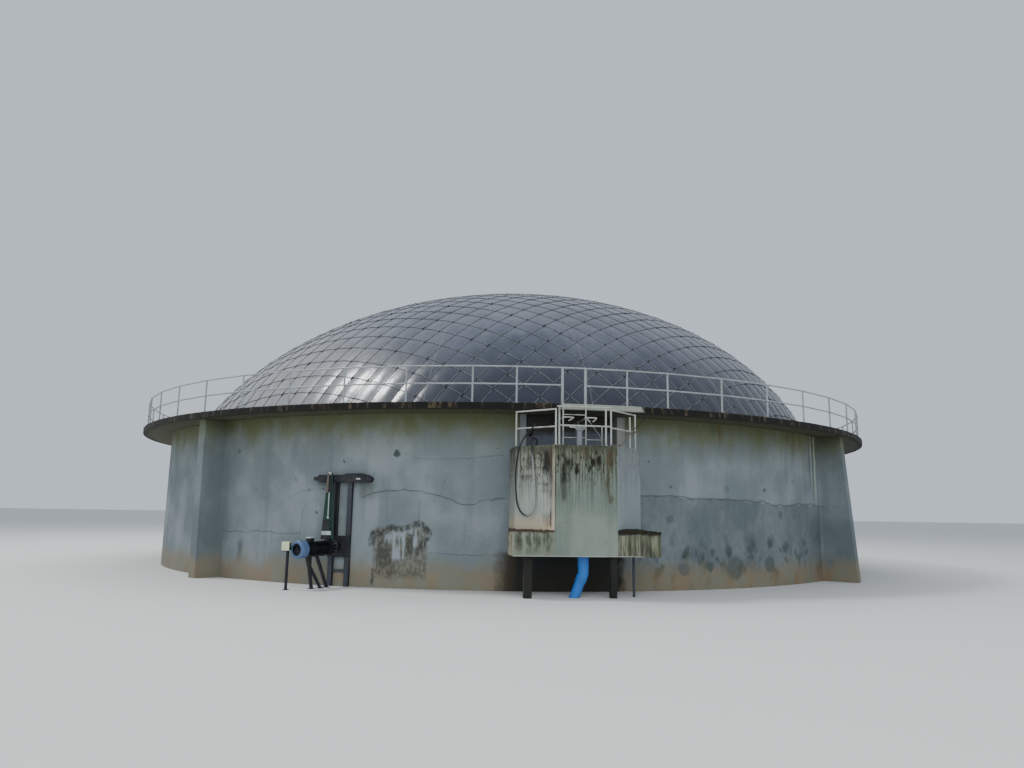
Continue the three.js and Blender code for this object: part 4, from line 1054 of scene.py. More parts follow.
        # Left end face of the platform: painted sunlight
        self.lay(left * self.x.rise(-1.585, -1.588) * 0.6, self.painted_sunlight)
        patches = self.noise(7.0, 3.0, 5.0, 23.0)
        hanging = (patches + (self.drips - 0.5) * 0.35).rise(0.42, 0.6) * self.z.rise(0.8, 1.15)
        self.lay(left * 0.3, self.yellowed)
        self.lay(left * hanging * 0.75, self.moss)
        corner = self.x.band(-1.56, -1.42, 0.03) * self.z.band(1.15, 1.36, 0.04)
        self.lay(left * corner * 0.6, self.moss)
        runs = self.noise(24.0, 1.6, 5.0, 41.0).rise(0.4, 0.62)
        self.lay(right * runs * (self.z.rise(1.5, 0.95) * 0.3 + 0.5), self.black_moss)
        self.lay(right * patches.rise(0.45, 0.6) * 0.4, self.moss)
        self.lay(right * self.x.rise(1.54, 1.6) * 0.6, self.moss)
        lip = self.z.band(self.foot, self.foot + 0.022, 0.006)
        self.lay(lip * (self.x.rise(1.35, 1.2) * 0.6), self.bright)
        uneven = self.ragged - 0.5
        line = (self.z + uneven * 0.09).band(self.ledge - 0.02, self.ledge + 0.04, 0.014) * beside
        self.lay(line * self.x.rise(0.2, -0.2) * 0.9, self.rust)
        crown = (self.z + uneven * 0.14).band(self.ledge - 0.05, self.ledge + 0.02, 0.025) * beside
        self.lay(crown * self.x.rise(-0.2, 0.2) * 0.95, self.black_moss)


@dataclass
class Membrane(Finish):
    """Smooth dark geomembrane with dust, runs of dirt and faint weld seams."""

    clean: Colour = srgb(54, 59, 72)
    dusty: Colour = srgb(104, 108, 118)
    # worn: colour of the seams, and of the painted pale reflection on the dome's left side
    worn: Colour = srgb(150, 148, 145)
    # low: painted dark reflection, low at the front and on the right
    low: Colour = srgb(15, 21, 33)
    seam_step: float = 22.5

    def paint(self) -> None:
        """Dust, painted dark reflections low at the front and on the right, a painted pale reflection on the
        left, and seams.
        """
        dust = self.noise(0.5, 0.5, 5.0)
        runs = self.noise(2.6, 0.5, 4.0, 5.0)
        turn = ((self.bearing * (180 / math.pi) - 4.0) / self.seam_step).math("FRACT") - 0.5
        covered = (dust + (runs - 0.5) * 0.6).rise(0.22, 0.82) * 0.5 + self.z.rise(5.5, 9.5) * 0.12
        self.colour = self.mix(covered, self.clean, self.dusty)
        # Painted dark reflection low at the front, and a weaker one on the right
        self.lay(self.z.rise(7.0, 4.6) * self.x.rise(-6.5, -3.0) * self.y.rise(-4.0, -8.0) * 0.7, self.low)
        self.lay(self.x.rise(2.0, 8.0) * self.z.rise(9.5, 6.0) * 0.2, self.low)
        # Painted pale reflection of the bright sky on the left side
        self.lay(self.x.rise(-2.5, -7.5) * self.z.rise(9.0, 5.5) * (runs * 0.5 + 0.45), self.worn)
        self.lay(turn.math("ABSOLUTE").rise(0.4965, 0.499) * 0.3, self.worn)
        crumple = self.noise(2.2, 2.2, 3.0, 15.0)
        self.close(covered * 0.24 + 0.17, crumple, 0.012, IOR=1.5, Specular_IOR_Level=0.6)


@dataclass
class Coated(Finish):
    """Metal, paint or plastic with dirt and rust in patches, which may differ above a level."""

    body: Colour = srgb(128, 128, 128)
    worn: Colour = srgb(96, 96, 96)
    roughness: float = 0.5
    metallic: float = 0.0
    wear: float = 0.4
    grain: float = 14.0
    level: float = 100.0
    above: Colour = srgb(60, 52, 44)

    def paint(self) -> None:
        """Body, patches and grain."""
        patches = self.noise(self.grain * 0.3, self.grain * 0.15, 5.0)
        fine = self.noise(self.grain * 3, self.grain * 3, 3.0, 3.0)
        height = self.z + (patches - 0.5) * 0.3
        self.colour = self.mix(height.rise(self.level - 0.08, self.level + 0.08), self.body, self.above)
        self.lay(patches.rise(0.48, 0.7) * self.wear, self.worn)
        self.shaded(fine * 0.3 + 0.85)
        self.close(patches * 0.3 + (self.roughness - 0.15), fine, 0.0015, Metallic=self.metallic)


@dataclass
class HoseRubber(Finish):
    """Black rubber, paler grey on the strand that hangs nearer to the chamber's front."""

    clean: Colour = srgb(26, 26, 28)
    dusty: Colour = srgb(150, 152, 148)

    def paint(self) -> None:
        """Rubber, paler on one strand."""
        patches = self.noise(9.0, 4.0, 4.0)
        # Paler grey on the strand nearer the chamber's front, in patches; its cause is not known
        dusty = self.x.rise(-1.3, -1.16) * self.z.rise(3.15, 2.9) * (patches * 0.5 + 0.6)
        self.colour = self.mix(dusty, self.clean, self.dusty)
        self.close(patches * 0.3 + 0.5, patches, 0.0008)


@dataclass
class PaleFloor(Finish):
    """The studio's pale floor, which takes no slot."""

    def paint(self) -> None:
        """Pale grey with a faint grain."""
        grain = self.noise(1.0, 1.0)
        self.colour = self.mix(grain * 0.2, srgb(206, 206, 202), srgb(196, 196, 192))
        self.close(0.9, grain, 0.001)


PLAIN = Concrete("concrete")
WALL = WallConcrete("wall_concrete")
WALKWAY = WalkwayConcrete("walkway_concrete")
CHAMBER = ChamberConcrete("chamber_concrete")
# Legs under the platform: mossy concrete, darkened further as painted shadow
MOSSY_SHADOWED = Concrete(
    "mossy_shadowed_leg", Slot.MOSSY_CONCRETE, srgb(36, 36, 30), srgb(52, 54, 46), srgb(24, 24, 20), 0.012
)
JAMB = Concrete(
    "jamb_concrete", Slot.STREAKED_CONCRETE, srgb(142, 146, 148), srgb(160, 158, 144), srgb(92, 98, 90)
)
MOSS = Coated("moss", Slot.MOSSY_CONCRETE, srgb(34, 31, 20), srgb(62, 64, 34), 0.95, 0.0, 0.5, 34.0)
MEMBRANE = Membrane("membrane", Slot.MEMBRANE)
ROPE = Coated("rope", Slot.ROPE, srgb(118, 120, 120), srgb(60, 60, 58), 0.85, wear=0.6, grain=30.0)
TIE = Coated("tie", Slot.ROPE, srgb(16, 17, 19), srgb(36, 35, 32), 0.75)
RAIL = Coated("rail", Slot.GALVANISED, srgb(158, 164, 165), srgb(122, 114, 104), 0.5, 0.3)
OLD_RAIL = Coated("old_rail", Slot.GALVANISED, srgb(168, 172, 164), srgb(116, 108, 92), 0.6, 0.2, 0.6)
STEEL = Coated("dark_steel", Slot.DARK_STEEL, srgb(66, 70, 78), srgb(66, 60, 54), 0.6, 0.3)
BLACK_STEEL = Coated("black_steel", Slot.DARK_STEEL, srgb(40, 41, 46), srgb(72, 68, 62), 0.65, 0.25, 0.6, 20.0)
BRIGHT = Coated("bright_steel", Slot.DARK_STEEL, srgb(186, 196, 196), srgb(110, 106, 98), 0.4, 0.5)
GREEN = Coated("green_steel", Slot.DARK_STEEL, srgb(32, 60, 48), srgb(60, 66, 56), 0.5, 0.3, 0.6)
RUSTY = Coated("rusty_steel", Slot.DARK_STEEL, srgb(100, 96, 88), srgb(84, 60, 46), 0.7, 0.2, 0.5)
# Above 3.68 m the panel takes a dark colour: painted shadow of the walkway slab
PANEL = Coated(
    "panel_steel", Slot.DARK_STEEL, srgb(94, 100, 110), srgb(68, 70, 66), 0.45, 0.15, 0.6, 5.0, 3.68,
    srgb(50, 46, 36),
)
BLUE = Coated("motor_blue", Slot.MOTOR_BLUE, srgb(82, 104, 140), srgb(66, 74, 84), 0.42, 0.2, 0.35)
BLACK = Coated("motor_black", Slot.MOTOR_BLACK, srgb(26, 30, 38), srgb(78, 74, 68), 0.42, 0.35, 0.45, 26.0)
CREAM = Coated("cream_plastic", Slot.CREAM_PLASTIC, srgb(204, 208, 176), srgb(160, 162, 126), 0.5, 0.0, 0.35)
BLUE_PIPE = Coated("blue_plastic", Slot.BLUE_PLASTIC, srgb(38, 108, 188), srgb(40, 66, 92), 0.4, 0.0, 0.5)
WHITE = Coated("white_plastic", Slot.WHITE_PLASTIC, srgb(186, 186, 178), srgb(140, 136, 124), 0.6)
STANDPIPE = Coated(
    "standpipe", Slot.WHITE_PLASTIC, srgb(126, 126, 132), srgb(92, 88, 84), 0.6, 0.0, 0.5, level=3.66,
    above=srgb(112, 122, 100),
)
RUBBER = HoseRubber("rubber", Slot.RUBBER)


# Studio


@dataclass
class Studio:
    """Camera at the photograph's place, pale floor and soft light."""

    camera_place: Triple = (-4.0197, -29.7295, 1.78)
    heading: float = 8.213
    pitch: float = 9.4899
    roll: float = 0.9188
    lens: float = 27.035
    floor_half: float = 400.0
    sky: Colour = (0.72, 0.8, 0.92, 1.0)
    sky_strength: float = 0.88

    def build(self) -> None:
        """Camera, floor, sky and lamps."""
        self.camera()
        half = self.floor_half
        mesh = bpy.data.meshes.new("floor")
        corners = [(-half, -half, 0.0), (half, -half, 0.0), (half, half, 0.0), (-half, half, 0.0)]
        mesh.from_pydata(corners, [], [(0, 1, 2, 3)])
        mesh.materials.append(PaleFloor("floor").material)
        linked("floor", mesh)
        world = bpy.data.worlds.new("studio")
        world.use_nodes = True
        backdrop = world.node_tree.nodes["Background"]
        backdrop.inputs["Color"].default_value = self.sky
        backdrop.inputs["Strength"].default_value = self.sky_strength
        bpy.context.scene.world = world
        self.lamp("overhead", (0.0, 14.0, 34.0), (0.0, 0.0, 5.0), 34.0, 8500.0)
        self.lamp("front", (-2.0, -41.0, 18.0), (0.0, 0.0, 3.0), 24.0, 5200.0)
        self.lamp("glint", (-26.0, -6.0, 39.0), (-5.0, -9.0, 5.0), 7.5, 9500.0, True)

    def camera(self) -> None:
        """Camera that stands where the photograph was taken."""
        aim = Euler((math.radians(90 + self.pitch), 0.0, math.radians(-self.heading))).to_matrix().to_4x4()
        roll = Matrix.Rotation(math.radians(self.roll), 4, "Z")
        matrix = Matrix.Translation(self.camera_place) @ aim @ roll
        lens = bpy.data.cameras.new("camera")
        lens.lens = self.lens
        lens.clip_end = 2000.0
        camera = linked("camera", lens)
        camera.matrix_world = matrix
        bpy.context.scene.camera = camera

    @staticmethod
    def lamp(
        name: str, where: Triple, target: Triple, size: float, power: float, mirrored: bool = False
    ) -> None:
        """Square soft light.

        Args:
            name: the lamp's name.
            where: its place.
            target: the place that it faces.
            size: its side.
            power: its power in watts.
            mirrored: whether it shows in glossy surfaces.
        """
        light = bpy.data.lights.new(name, "AREA")
        light.size = size
        light.energy = power
        lamp = linked(name, light)
        lamp.location = where
        lamp.rotation_euler = (Vector(where) - Vector(target)).to_track_quat("Z", "Y").to_euler()
        lamp.visible_glossy = mirrored


# Cord


@dataclass
class Hose:
    """Black hose that hangs in a loop over the chamber's left wing, from the opening to the deck."""

    radius: float = 0.016
    length: float = 5.8
    route: tuple[Triple, ...] = (
        (-0.9392, -11.6731, 3.62), (-0.9436, -11.7284, 3.62), (-0.96, -12.0, 3.645), (-0.98, -12.3, 3.678),
        (-1.002, -12.62, 3.696), (-1.03, -12.88, 3.718), (-1.054, -12.992, 3.72), (-1.112, -13.032, 3.668),
        (-1.195, -12.94, 3.56), (-1.275, -12.856, 3.45), (-1.345, -12.784, 3.31), (-1.395, -12.733, 3.14),
        (-1.425, -12.703, 2.93), (-1.44, -12.688, 2.7), (-1.44, -12.688, 2.42), (-1.428, -12.7, 2.16),
        (-1.395, -12.733, 1.94), (-1.33, -12.798, 1.795), (-1.245, -12.883, 1.728), (-1.162, -12.966, 1.74),
        (-1.103, -13.025, 1.822), (-1.074, -13.054, 1.96), (-1.07, -13.058, 2.16), (-1.085, -13.043, 2.45),
        (-1.108, -13.02, 2.76), (-1.132, -12.998, 3.04), (-1.143, -12.982, 3.22), (-1.138, -12.945, 3.335),
        (-1.11, -12.89, 3.405), (-1.06, -12.82, 3.43), (-1.002, -12.748, 3.412), (-0.98, -12.722, 3.3663),
        (-0.98, -12.722, 3.3103),
    )

    def build(self) -> None:
        """Hose as one open curve."""
        data = bpy.data.curves.new("hose", "CURVE")
        data.dimensions = "3D"
        data.bevel_depth = self.radius
        data.bevel_resolution = 4
        data.resolution_u = 8
        data.use_fill_caps = True
        spline = data.splines.new("BEZIER")
        spline.bezier_points.add(len(self.route) - 1)
        for knot, point in zip(spline.bezier_points, self.route):
            knot.co = point
            knot.handle_left_type = knot.handle_right_type = "AUTO"
        hose = placed("hose", data, RUBBER, "chamber_hose")
        self.radius * 2


# Tank


@dataclass(frozen=True)
class Buttress:
    """Buttress, by its step round the tank, its depths and its sideways shift."""

    name: str
    step: int
    top_depth: float
    foot_depth: float
    shift: float = 0.0


@dataclass
class Tank:
    """Floor, round wall in stretches, buttresses and the cantilevered walkway."""

    first_buttress: float = 43.5
    step_angle: float = 45.0
    buttress_width: float = 0.29
    walkway_inner: float = 10.95
    walkway_radius: float = 12.73
    rows: int = 16
    facet: float = 0.75
    edge_facet: float = 0.45
    buttresses: tuple[Buttress, ...] = (
        Buttress("front_right", 0, 0.665, 0.96),
        Buttress("back_right", 2, 0.68, 0.8),
        Buttress("back_left", 4, 0.68, 0.8),
        Buttress("front_left", 6, 0.7, 0.66, -0.13),
    )
    stretches: tuple[str, ...] = (
        "right_front", "right_back", "back_right", "back_left", "left_back", "left_front",
    )

    def build(self) -> None:
        """All concrete of the tank."""
        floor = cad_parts["tank_floor"]
        floor.data.materials.clear()
        floor.data.materials.append(PLAIN.material)
        corners = [self.first_buttress + self.step_angle * index for index in range(7)]
        self.wall("wall_front_left", corners[-1] - 360, OPENING[0])
        self.wall("wall_front_middle", *OPENING, DECK_TOP)
        self.wall("wall_front_right", OPENING[1], corners[0])
        for name, start, end in zip(self.stretches, corners, corners[1:]):
            self.wall("wall_" + name, start, end)
        for buttress in self.buttresses:
            self.buttress(buttress, corners[buttress.step])
        self.walkway()

    def wall(self, name: str, start: float, end: float, top: float = WALL_TOP) -> None:
        """One stretch of the wall, with a slightly uneven outer face.

        Args:
            name: the node that it stands for.
            start: its first bearing.
            end: its last bearing.
            top: its height.
        """
        gap = math.degrees(SEAT_GAP / 2 / WALL_RADIUS)
        rows = [top * index / self.rows for index in range(self.rows + 1)]
        inner = WALL_RADIUS - WALL_THICKNESS
        section = [(inner, 0.0)] + [(WALL_RADIUS, height) for height in rows] + [(inner, top)]
        mesh = Form().swept(section, spread(start + gap, end - gap, self.facet)).bare(name)
        for vertex in mesh.vertices:
            point = vertex.co
            if point.xy.length > WALL_RADIUS - 0.01 and 0.1 < point.z < top - 0.02:
                point.xy *= 1 + 0.003 * noise.noise(point / 0.9) / WALL_RADIUS
        placed(name + "_cast", mesh, WALL, name)

    def buttress(self, buttress: Buttress, corner: float) -> None:
        """One buttress, whose depth changes towards its foot.

        Args:
            buttress: its sizes.
            corner: its bearing.
        """
        half = self.buttress_width / 2
        left, right = buttress.shift - half, buttress.shift + half
        root = -WALL_RADIUS + 0.05
        rings = []
        for share in [index / 12 for index in range(13)]:
            depth = buttress.foot_depth + (buttress.top_depth - buttress.foot_depth) * share
            outer, height = -WALL_RADIUS - depth, WALL_TOP * share
            corners = ((left, outer), (right, outer), (right, root), (left, root))
            rings.append([(x, y, height) for x, y in corners])
        mesh = Form(Matrix.Rotation(math.radians(corner), 4, "Z")).loft(rings).bare(buttress.name)
        waved(mesh, 0.7, 0.004)
        placed(f"buttress_{buttress.name}_cast", mesh, WALL, "buttress_" + buttress.name, bevel=0.012)

    def walkway(self) -> None:
        """Slab in four quarters, with a worn outer edge."""
        low, high, edge, inner = WALL_TOP, WALKWAY_TOP, self.walkway_radius, self.walkway_inner
        section = [
            (inner, low), (edge - 0.35, low), (edge - 0.12, low), (edge - 0.012, low), (edge, low + 0.012),
            (edge, low + 0.055), (edge, low + 0.105), (edge, high - 0.014), (edge - 0.014, high),
            (edge - 0.1, high), (edge - 0.3, high), (inner, high),
        ]
        start = self.first_buttress - self.step_angle - 90
        for index, name in enumerate(("front_left", "front_right", "back_right", "back_left")):
            bearings = spread(start + index * 90, start + (index + 1) * 90 - 0.001, self.edge_facet)
            mesh = Form().swept(section, bearings).bare(name)
            for vertex in mesh.vertices:
                point = vertex.co
                reach = max(0.0, point.xy.length - edge + 0.36) / 0.36
                rough = noise.noise(point * 2.3) + 0.7 * noise.noise(point * 9.0)
                point.xy *= 1 + 0.009 * reach * rough / edge
                point.z += 0.004 * reach * noise.noise(point * 3.1)
            placed(f"walkway_{name}_cast", mesh, WALKWAY, "walkway_" + name)


# Guardrails


@dataclass(frozen=True)
class Post:
    """Guardrail post, by its foot, radius and height; without a radius the rails only end or bend there."""

    foot: Vector
    radius: float
    height: float


@dataclass
class Guardrail:
    """Tube guardrail on posts that stand along a path."""

    name: str
    nodes: tuple[str, ...]
    height: float
    mid_height: float
    rail_radius: float
    foot_radius: float = 0.062

    def build(self, posts: Sequence[Post], bare_bay: int | None, closed: bool, finish: Finish) -> None:
        """Rails, posts and foot plates.

        Args:
            posts: the posts in order.
            bare_bay: number of the bay without a middle rail.
            closed: whether the path closes on itself.
            finish: the tube's finish.
        """
        path = bpy.data.meshes.new(self.name)
        bays = [(index, index + 1) for index in range(len(posts) - 1)]
        if closed:
            bays.append((len(posts) - 1, 0))
        path.from_pydata([post.foot for post in posts], bays, [])
        for name, kind, domain, values in (
            ("post_radius", "FLOAT", "POINT", [post.radius for post in posts]),
            ("post_height", "FLOAT", "POINT", [post.height for post in posts]),
            ("bare_bay", "BOOLEAN", "EDGE", [index == bare_bay for index in range(len(bays))]),
        ):
            path.attributes.new(name, kind, domain).data.foreach_set("value", values)

        sizes = {"Height": self.height, "Mid height": self.mid_height, "Rail radius": self.rail_radius}
        tree = Growth("guardrail", sizes)
        railed = tree.cut(tree.base, tree.stored("bare_bay", "BOOLEAN"), domain="EDGE", mode="EDGE_FACE")
        pieces = []
        for source, level in ((tree.base, "Height"), (railed, "Mid height")):
            line = tree.add("GeometryNodeMeshToCurve", {}, {"Mesh": source})
            raised = tree.set(line, Offset=tree.combine(0.0, 0.0, tree.size(level)))
            pieces.append(tree.tube(raised, tree.size("Rail radius"), 12))
        size = tree.stored("post_radius")
        standing = size.math("GREATER_THAN", 0.001)
        post_scale = tree.combine(size, size, tree.stored("post_height"))
        for item, scale in (
            (tree.drum(1.0, 1.0, 12, 0.5), post_scale),
            (tree.drum(self.foot_radius, 0.012, 16, 0.006), (1.0, 1.0, 1.0)),
            (tree.drum(self.rail_radius * 1.4, 0.05, 12, self.mid_height), (1.0, 1.0, 1.0)),
        ):
            pieces.append(tree.copies(tree.base, item, Selection=standing, Scale=scale))
        joined = tree.add("GeometryNodeJoinGeometry", {}, {0: pieces})
        placed(self.name, tree.grow(joined, finish, path), finish, *self.nodes)


@dataclass
class WalkwayRail:
    """Guardrail round the walkway, with a narrow bay for the ladder's gate."""

    radius: float = 12.62
    height: float = 0.85
    mid_height: float = 0.44
    rail_radius: float = 0.019
    post_radius: float = 0.022
    gate_post_radius: float = 0.033
    front_bearings: Pair = (-6.5, 5.35)
    gate_bearings: Pair = (-1.7, 0.75)
    first: float = 10.1
    last: float = 348.9
    count: int = 49

    def build(self) -> None:
        """The whole ring of rails and posts."""
        step = (self.last - self.first) / (self.count - 1)
        places = [(self.front_bearings[0], self.post_radius)]
        places += [(bearing, self.gate_post_radius) for bearing in self.gate_bearings]
        places += [(self.front_bearings[1], self.post_radius)]
        places += [(self.first + step * index, self.post_radius) for index in range(self.count)]
        posts = [Post(bearing_point(self.radius, at, WALKWAY_TOP), size, self.height) for at, size in places]
        parts = ("front", "front_right", "back_right", "back", "back_left", "front_left")
        nodes = tuple("guardrail_" + part for part in parts)
        rail = Guardrail("walkway_rail", nodes, self.height, self.mid_height, self.rail_radius)
        rail.build(posts, 1, True, RAIL)


# Gas dome


@dataclass(frozen=True)
class DomeShape:
    """Cap of an ellipsoid that leans a little, and the square net that lies on it.

    A place on the net, laid out flat, goes to the bearing that it has on the flat net and to the
    meridian's point at the same distance from the top.
    """

    base: float = WALKWAY_TOP
    radius: float = 11.094
    rise: float = 5.546
    start_angle: float = 18.53
    lean: float = 0.525
    lean_bearing: float = 82.3
    mesh: float = 0.629
    turn: float = 47.5
    along: float = 1.63
    across: float = -0.45
    crease: float = 0.01
    pillow: float = 0.024

    @property
    def half_width(self) -> float:
        """Half width of the ellipse."""
        return self.radius / math.cos(math.radians(self.start_angle))

    @property
    def half_height(self) -> float:
        """Half height of the ellipse."""
        return self.rise / (1 - math.sin(math.radians(self.start_angle)))

    def profile(self, share: float, inset: float = 0.0) -> Pair:
        """Point of the meridian.

        Args:
            share: share of its angle from the top.
            inset: distance inside the membrane.

        Returns:
            Its radius and height.
        """
        angle = math.radians(90 - (90 - self.start_angle) * share)
        centre = self.base + self.rise - self.half_height
        out, up = self.half_width - inset, self.half_height - inset
        return out * math.cos(angle), centre + up * math.sin(angle)

    def reach(self) -> float:
        """Length of the meridian from the top to the walkway."""
        points = [Vector(self.profile(index / 400)) for index in range(401)]
        return sum((b - a).length for a, b in zip(points, points[1:]))

    def leaning(self, radius: float, bearing: float, height: float) -> Vector:
        """Point of the dome at a bearing, leaning with its height."""
        shift = bearing_point(self.lean * (height - self.base) / self.rise, self.lean_bearing)
        return bearing_point(radius, bearing, height) + shift

    def laid(self, tree: Growth, flat: Value, lift: float = 0.0) -> Value:
        """Place on the dome, with its pillows, for a place on the flat net.

        Args:
            tree: the tree that lays something on the dome.
            flat: flat places.
            lift: height above the membrane.

        Returns:
            The places on the dome.
        """
        along, across, _ = tree.split(flat)
        flat_reach = (along * along + across * across).math("SQRT").math("MAXIMUM", 1e-5)
        reach = flat_reach.math("MINIMUM", self.reach())
        sweep = math.radians(self.start_angle - 90)
        arc = {"Resolution": 256, "Radius": 1.0, "Start Angle": math.pi / 2, "Sweep Angle": sweep}
        circle = tree.add("GeometryNodeCurveArc", {}, arc)
        scale = (self.half_width, self.half_height, 1.0)
        meridian = tree.add("GeometryNodeTransform", {}, {"Geometry": circle, "Scale": scale})
        inputs = {"Curves": meridian, "Length": reach}
        sample = tree.add("GeometryNodeSampleCurve", {"mode": "LENGTH"}, inputs, "Position")
        out, up, _ = tree.split(sample)
        down_out, down_up, _ = tree.split(sample.output("Tangent"))
        raised = self.puffed(along, across, flat_reach) + lift
        radius = out - down_up * raised
        height = up + down_out * raised + (self.base + self.rise - self.half_height)
        first, second = bearing_point(1.0, self.turn), bearing_point(1.0, self.turn + 90)
        east = (along * first.x + across * second.x) / flat_reach
        north = (along * first.y + across * second.y) / flat_reach
        lean = (up + (self.rise - self.half_height)) * (self.lean / self.rise)
        shift = bearing_point(1.0, self.lean_bearing)
        return tree.combine(east * radius + lean * shift.x, north * radius + lean * shift.y, height)

    def puffed(self, along: Value, across: Value, reach: Value) -> Value:
        """Height of the membrane between the ropes, which press deeper creases into it near its foot.

        Args:
            along: places along one family of ropes.
            across: places along the other.
            reach: distance from the top.

        Returns:
            The height.
        """
        share = reach / self.reach()
        depth = share * share * 0.75 + 0.25
        swell = -self.crease
        for here, other, offset in ((along, across, self.along), (across, along, self.across)):
            wave = ((here / self.mesh - offset) * math.pi).math("SINE").math("ABSOLUTE").math("POWER", 1.1)
            slant = other / reach
            swell = wave * (slant * slant * 0.9 + 0.1) * self.pillow + swell
        return swell * depth


@dataclass
class GasDome:
    """Membrane with its inner skin, clamp ring and bolts at its foot."""

    shape: DomeShape
    cells: int = 43
    steps: int = 7
    thickness: float = 0.06
    rings: int = 8
    clamp_width: float = 0.11
    clamp_height: float = 0.055
    bolts: int = 232

    def build(self) -> None:
        """Membrane, clamp ring and bolts."""
        self.membrane()
        inner = self.shape.radius + SEAT_GAP
        outer, foot = inner + self.clamp_width, self.shape.base
        section = [(inner, foot), (outer, foot), (outer, foot + 0.012), (inner + 0.03, foot + 0.016),
                   (inner + 0.014, foot + self.clamp_height), (inner, foot + self.clamp_height)]
        ring = Form().swept(section, spread(0.0, 358.75, 1.25), cyclic=True)
        ring.piece("clamp_ring", STEEL, "dome_clamp_ring")
        middle = bearing_point(outer - 0.04, 0.0)
        corners = [(middle.x + 0.014 * math.cos(t), middle.y + 0.014 * math.sin(t))
                   for t in [math.pi * index / 3 for index in range(6)]]
        Form().prism(corners, foot + 0.008, foot + 0.034).repeated("clamp_bolts", self.bolts, BRIGHT)

    def membrane(self) -> None:
        """Pillowed outer skin on the net's own grid, closed by an inner skin."""
        shape = self.shape
        count = self.cells * self.steps + 1
        tree = Growth("membrane", {"Size": self.cells * shape.mesh, "Points": count, "Reach": shape.reach()})
        centre = self.cells % 2 / 2
        offset = ((shape.along % 1 - 1 + centre) * shape.mesh, (shape.across + centre) * shape.mesh, 0.0)
        grid = tree.grid(tree.size("Size"), tree.size("Points"), offset)
        disc = tree.within(grid, tree.size("Reach") + shape.mesh / self.steps * 1.2)
        mesh = tree.grow(tree.set(disc, Position=shape.laid(tree, tree.here())), MEMBRANE)
        self.close(mesh)
        placed("membrane", mesh, MEMBRANE, "dome_membrane")

    def close(self, mesh: bpy.types.Mesh) -> None:
        """Adds the inner skin.

        Args:
            mesh: the outer skin.
        """
        work = bmesh.new()
        work.from_mesh(mesh)
        bmesh.ops.remove_doubles(work, verts=work.verts, dist=1e-4)
        loose = [vertex for vertex in work.verts if not vertex.link_faces]
        bmesh.ops.delete(work, geom=loose, context="VERTS")
        edges = [edge for edge in work.edges if edge.is_boundary]
        for index in range(self.rings):
            made = bmesh.ops.extrude_edge_only(work, edges=edges)["geom"]
            radius, height = self.shape.profile(1 - index / self.rings, self.thickness)
            for vertex in (item for item in made if isinstance(item, bmesh.types.BMVert)):
                bearing = math.degrees(math.atan2(vertex.co.x, -vertex.co.y))
                vertex.co = self.shape.leaning(radius, bearing, max(height, self.shape.base))
            edges = [item for item in made if isinstance(item, bmesh.types.BMEdge)]
        top = self.shape.leaning(0.0, 0.0, self.shape.profile(0.0, self.thickness)[1])
        rim = list(dict.fromkeys(vertex for edge in edges for vertex in edge.verts))
        bmesh.ops.pointmerge(work, verts=rim, merge_co=top)
        bmesh.ops.recalc_face_normals(work, faces=work.faces)
        work.to_mesh(mesh)
        work.free()
        mesh.shade_smooth()


